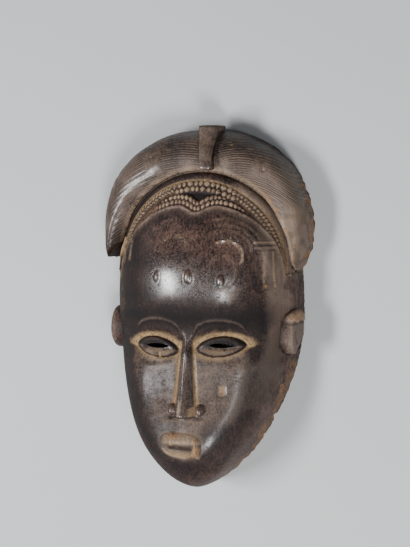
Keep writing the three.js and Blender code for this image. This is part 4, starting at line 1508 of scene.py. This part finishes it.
def worn_wood(finish, comb_depth):
    """Blackened, handled wood with ochre dirt in the carving and bare wood at worn edges, with painted shade
    and painted sheen.
    """
    shader = Shader("worn_wood")
    place = shader.add("ShaderNodeTexCoord", output=3)
    long = shader.stretched(place, (1.0, GRAIN_DRAWN_OUT, 1.0))
    grain, fibre = (shader.noise(long, *NOISES[name]) for name in ("grain", "fibre"))
    cloud, patch, speck = (shader.noise(place, *NOISES[name]) for name in ("cloud", "patch", "speck"))

    dirt = shader.step(shader.mark("dirt") + (patch - 0.5) * 1.1 + (speck - 0.5) * 0.7, 0.25, 1.0)
    broken = (patch - 0.5) * 1.7 + (speck - 0.5) * 0.7 + (grain - 0.5) * 0.6
    bare = shader.step(shader.mark("bare") + broken, 0.45, 0.95)
    dust = shader.mark("dust") * shader.step(speck + (patch - 0.5) * 0.8, 0.15, 0.7)
    mottle = (cloud - 0.5) * 0.9 + (patch - 0.5) * 0.6 + (speck - 0.5) * 0.6
    film = shader.step(shader.mark("film") + mottle, 0.1, 1.05)
    polish = shader.mark("polish")
    soot = shader.mark("soot")
    inside = shader.mark("inside")
    line = shader.math("SINE", shader.mark("strand") * (2 * math.pi * STRAND_COUNT) + (patch - 0.5) * 6)
    comb = shader.mark("comb") * shader.step(line, -0.4, 0.9) * shader.step(speck + (patch - 0.5), 0.1, 0.6)

    thin = shader.step(cloud * 0.6 + patch * 0.4 + (speck - 0.5) * 1.3 + (grain - 0.5) * 0.6, 0.3, 0.85)
    wood = shader.mix(thin, rgba(finish.dark), rgba(finish.brown))
    side = shader.mark("side") * shader.step(grain + (cloud - 0.5) * 0.5 + (speck - 0.5) * 0.5, 0.25, 0.85)
    wood = shader.mix(side, wood, rgba(finish.red_brown))
    wood = shader.mix(film * 0.85, wood, rgba(finish.film))
    soot_and_shade_cover = soot * shader.step(patch * 0.5 + speck * 0.5, 0.25, 0.5) * 0.85
    wood = shader.mix(soot_and_shade_cover, wood, rgba(finish.soot))
    dry = shader.step(speck * 0.6 + patch * 0.4, 0.38, 0.62)
    wood = shader.mix(dirt * 0.85, wood, shader.mix(dry, rgba(finish.ochre, 1.25), rgba(finish.ochre, 0.4)))
    wood = shader.mix(comb * 0.7, wood, rgba(finish.dark))
    wood = shader.mix(dust * 0.85, wood, rgba(finish.dust))
    streak = shader.step(grain + (speck - 0.5) * 0.6, 0.3, 0.75)
    wood = shader.mix(bare * 0.85, wood, shader.mix(streak, rgba(finish.bare), rgba(finish.bare, 0.35)))
    fleck = shader.step(shader.noise(place, *NOISES["fleck"]), 0.62, 0.7) * shader.step(cloud, 0.42, 0.62)
    wood = shader.mix(fleck * (1 - inside) * (1 - soot) * 0.5, wood, rgba(finish.bare))
    streak = shader.step(grain + (cloud - 0.5), 0.3, 0.8)
    wood = shader.mix(inside, wood, shader.mix(streak, rgba(finish.inside), rgba(finish.inside, 0.45)))

    rough = 0.54 - polish * (0.29 * finish.gloss) + (patch - 0.5) * 0.25 + (speck - 0.5) * 0.3
    rough = rough + dirt * 0.3 + bare * 0.25 + inside * 0.3 + soot * 0.3
    relief = (grain - 0.5) * 0.7 + (fibre - 0.5) * 0.4 + (speck - 0.5) * 1.0 + (patch - 0.5) * 0.5
    relief = relief + (cloud - 0.5) * 2.0
    worn_coat = shader.step(patch * 0.5 + speck * 0.5, 0.3, 0.55) * (0.95 * finish.gloss)
    fine = shader.add("ShaderNodeBump", None, {
        "Strength": 1.0, "Distance": finish.grain_depth * MM * 4, "Height": relief})
    bump = shader.add("ShaderNodeBump", None, {
        "Strength": 1.0, "Distance": comb_depth * MM, "Height": 1 - comb, "Normal": fine})
    surface = shader.add("ShaderNodeBsdfPrincipled", None, {
        "Base Color": wood, "Roughness": rough, "Normal": bump, "Specular IOR Level": 0.24,
        "Coat Weight": polish * worn_coat * (1 - dirt) * (1 - soot), "Coat Roughness": 0.26,
        "Coat IOR": 1.75})
    shader.add("ShaderNodeOutputMaterial", None, {"Surface": surface})
    return shader.material


def floor_material(stage):
    """Plain pale paper."""
    shader = Shader("pale_floor")
    place = shader.add("ShaderNodeTexCoord", output=3)
    cloud = shader.noise(place, 3, 2)
    paper = shader.mix(cloud, rgba(stage.floor), rgba(stage.floor, 0.94))
    surface = shader.add("ShaderNodeBsdfPrincipled", None, {"Base Color": paper, "Roughness": 0.85})
    shader.add("ShaderNodeOutputMaterial", None, {"Surface": surface})
    return shader.material


# Operators

# Edges bent by more than this angle stay sharp
SHARP_EDGE = math.radians(58)


class MASK_OT_carve(Operator):
    """Carves the whole mask as one closed piece of wood"""
    bl_idname = "mask.carve"
    bl_label = "Carve the mask"

    def execute(self, context):
        scene = context.scene
        head, hair, braid, face = (
            in_mm(getattr(scene, name)) for name in ("mask_head", "mask_hair", "mask_braid", "mask_face"))
        piece = make_head(head, braid, face)
        for other in (make_hair(head, hair), make_crest(hair), make_ear(face, -1), make_ear(face, 1)):
            combine(piece, other, "UNION")
        for cutter in (make_hollow(head), make_slit(face, -1), make_slit(face, 1)):
            combine(piece, cutter, "DIFFERENCE")
        drop_crumbs(piece)
        piece.name = "carved_mask"
        piece.data.name = "carved_mask"
        piece.data.shade_smooth()
        piece.data.set_sharp_from_angle(angle=SHARP_EDGE)
        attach(piece, "root")
        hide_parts("mask")
        piece.data.calc_loop_triangles()
        print("carved_mask triangles:", len(piece.data.loop_triangles))
        return {"FINISHED"}


class MASK_OT_finish(Operator):
    """Gives the mask its worn dark finish"""
    bl_idname = "mask.finish"
    bl_label = "Finish the wood"

    def execute(self, context):
        piece = bpy.data.objects.get("carved_mask")
        if piece is None:
            raise RuntimeError("the mask is carved first")
        piece.data.materials.clear()
        comb_depth = in_mm(context.scene.mask_hair).comb_depth
        piece.data.materials.append(worn_wood(in_mm(context.scene.mask_finish), comb_depth))
        return {"FINISHED"}


class MASK_OT_stage(Operator):
    """Lays the pale floor and sets the lights and the camera"""
    bl_idname = "mask.stage"
    bl_label = "Set the stage"

    def execute(self, context):
        stage = context.scene.mask_stage
        bm = bmesh.new()
        bmesh.ops.create_grid(bm, x_segments=4, y_segments=4, size=FLOOR_HALF_WIDTH)
        floor = to_object(bm, "floor")
        floor.data.materials.append(floor_material(stage))

        world = bpy.data.worlds.new("room")
        context.scene.world = world
        world.use_nodes = True
        background = world.node_tree.nodes["Background"]
        background.inputs["Color"].default_value = ROOM_COLOUR
        background.inputs["Strength"].default_value = stage.ambient
        for name, place, size, power in LIGHTS:
            add_light(name, place, size, getattr(stage, power))
        add_camera(context.scene, stage)
        return {"FINISHED"}


def add_light(name, place, size, power):
    """A rectangular panel of light that faces the mask."""
    light = bpy.data.lights.new(name, "AREA")
    light.shape = "RECTANGLE"
    light.size, light.size_y = size
    light.energy = power
    lamp = bpy.data.objects.new(name, light)
    lamp.location = place
    lamp.rotation_euler = (Vector(LIGHT_TARGET) - Vector(place)).to_track_quat("-Z", "Y").to_euler()
    bpy.context.scene.collection.objects.link(lamp)


# The lights in metres: name, place, level and upright size, and the setting that holds the power
LIGHTS = (
    ("key_light", (-0.72, -0.14, 1.09), (0.56, 0.23), "key_power"),
    ("fill_light", (0.6, -0.06, 1.1), (0.22, 0.24), "fill_power"),
    ("front_light", (0.45, -0.57, 1.13), (0.26, 0.42), "front_power"),
)

# The place in metres that all lights face, the floor, and the light of the room
LIGHT_TARGET = (0, 0, 0.05)
FLOOR_HALF_WIDTH = 3
ROOM_COLOUR = (0.93, 0.96, 1.0, 1)

# The photograph's frame in pixels, where the origin lies in it, and its focal length
PHOTO_WIDTH = 410
PHOTO_HEIGHT = 547
ORIGIN_PIXEL = (214.5, 304.0)
FOCAL_PIXELS = 1561
SENSOR = 36.0


def add_camera(scene, stage):
    """Looks down on the lying mask as the photograph does."""
    back = Vector((
        math.sin(stage.yaw) * math.cos(stage.pitch),
        math.sin(stage.pitch),
        math.cos(stage.yaw) * math.cos(stage.pitch)))
    right = Vector((0, 1, 0)).cross(back).normalized()
    up = back.cross(right)
    data = bpy.data.cameras.new("camera")
    data.sensor_width = SENSOR
    data.lens = FOCAL_PIXELS / PHOTO_HEIGHT * SENSOR
    data.clip_end = 20
    camera = bpy.data.objects.new("camera", data)
    per_pixel = stage.distance / FOCAL_PIXELS
    shift_x = (ORIGIN_PIXEL[0] - PHOTO_WIDTH / 2) * per_pixel
    shift_y = (PHOTO_HEIGHT / 2 - ORIGIN_PIXEL[1]) * per_pixel
    place = back * stage.distance - right * shift_x - up * shift_y
    turn = Matrix((right, up, back)).transposed().to_4x4()
    camera.matrix_world = Matrix.Translation(place) @ turn
    scene.collection.objects.link(camera)
    scene.camera = camera


class MASK_PT_panel(Panel):
    """Lists the settings and the steps"""
    bl_idname = "MASK_PT_panel"
    bl_label = "Dance Mask"
    bl_space_type = "VIEW_3D"
    bl_region_type = "UI"
    bl_category = "Mask"

    def draw(self, context):
        layout = self.layout
        for step in STEPS:
            layout.operator(step.bl_idname)
        for name, group_type in SETTINGS.items():
            box = layout.box()
            box.label(text=name.replace("_", " ").title())
            for prop in group_type.__annotations__:
                box.prop(getattr(context.scene, name), prop)


STEPS = (MASK_OT_carve, MASK_OT_finish, MASK_OT_stage)


def register():
    for group_type in SETTINGS.values():
        bpy.utils.register_class(group_type)
    for name, group_type in SETTINGS.items():
        setattr(bpy.types.Scene, name, PointerProperty(type=group_type))
    for kind in (*STEPS, MASK_PT_panel):
        bpy.utils.register_class(kind)


def unregister():
    for kind in (MASK_PT_panel, *reversed(STEPS)):
        bpy.utils.unregister_class(kind)
    for name in SETTINGS:
        delattr(bpy.types.Scene, name)
    for group_type in reversed(SETTINGS.values()):
        bpy.utils.unregister_class(group_type)


def main():
    register()
    bpy.ops.mask.carve()
    bpy.ops.mask.finish()
    bpy.ops.mask.stage()


if __name__ == "__main__":
    main()
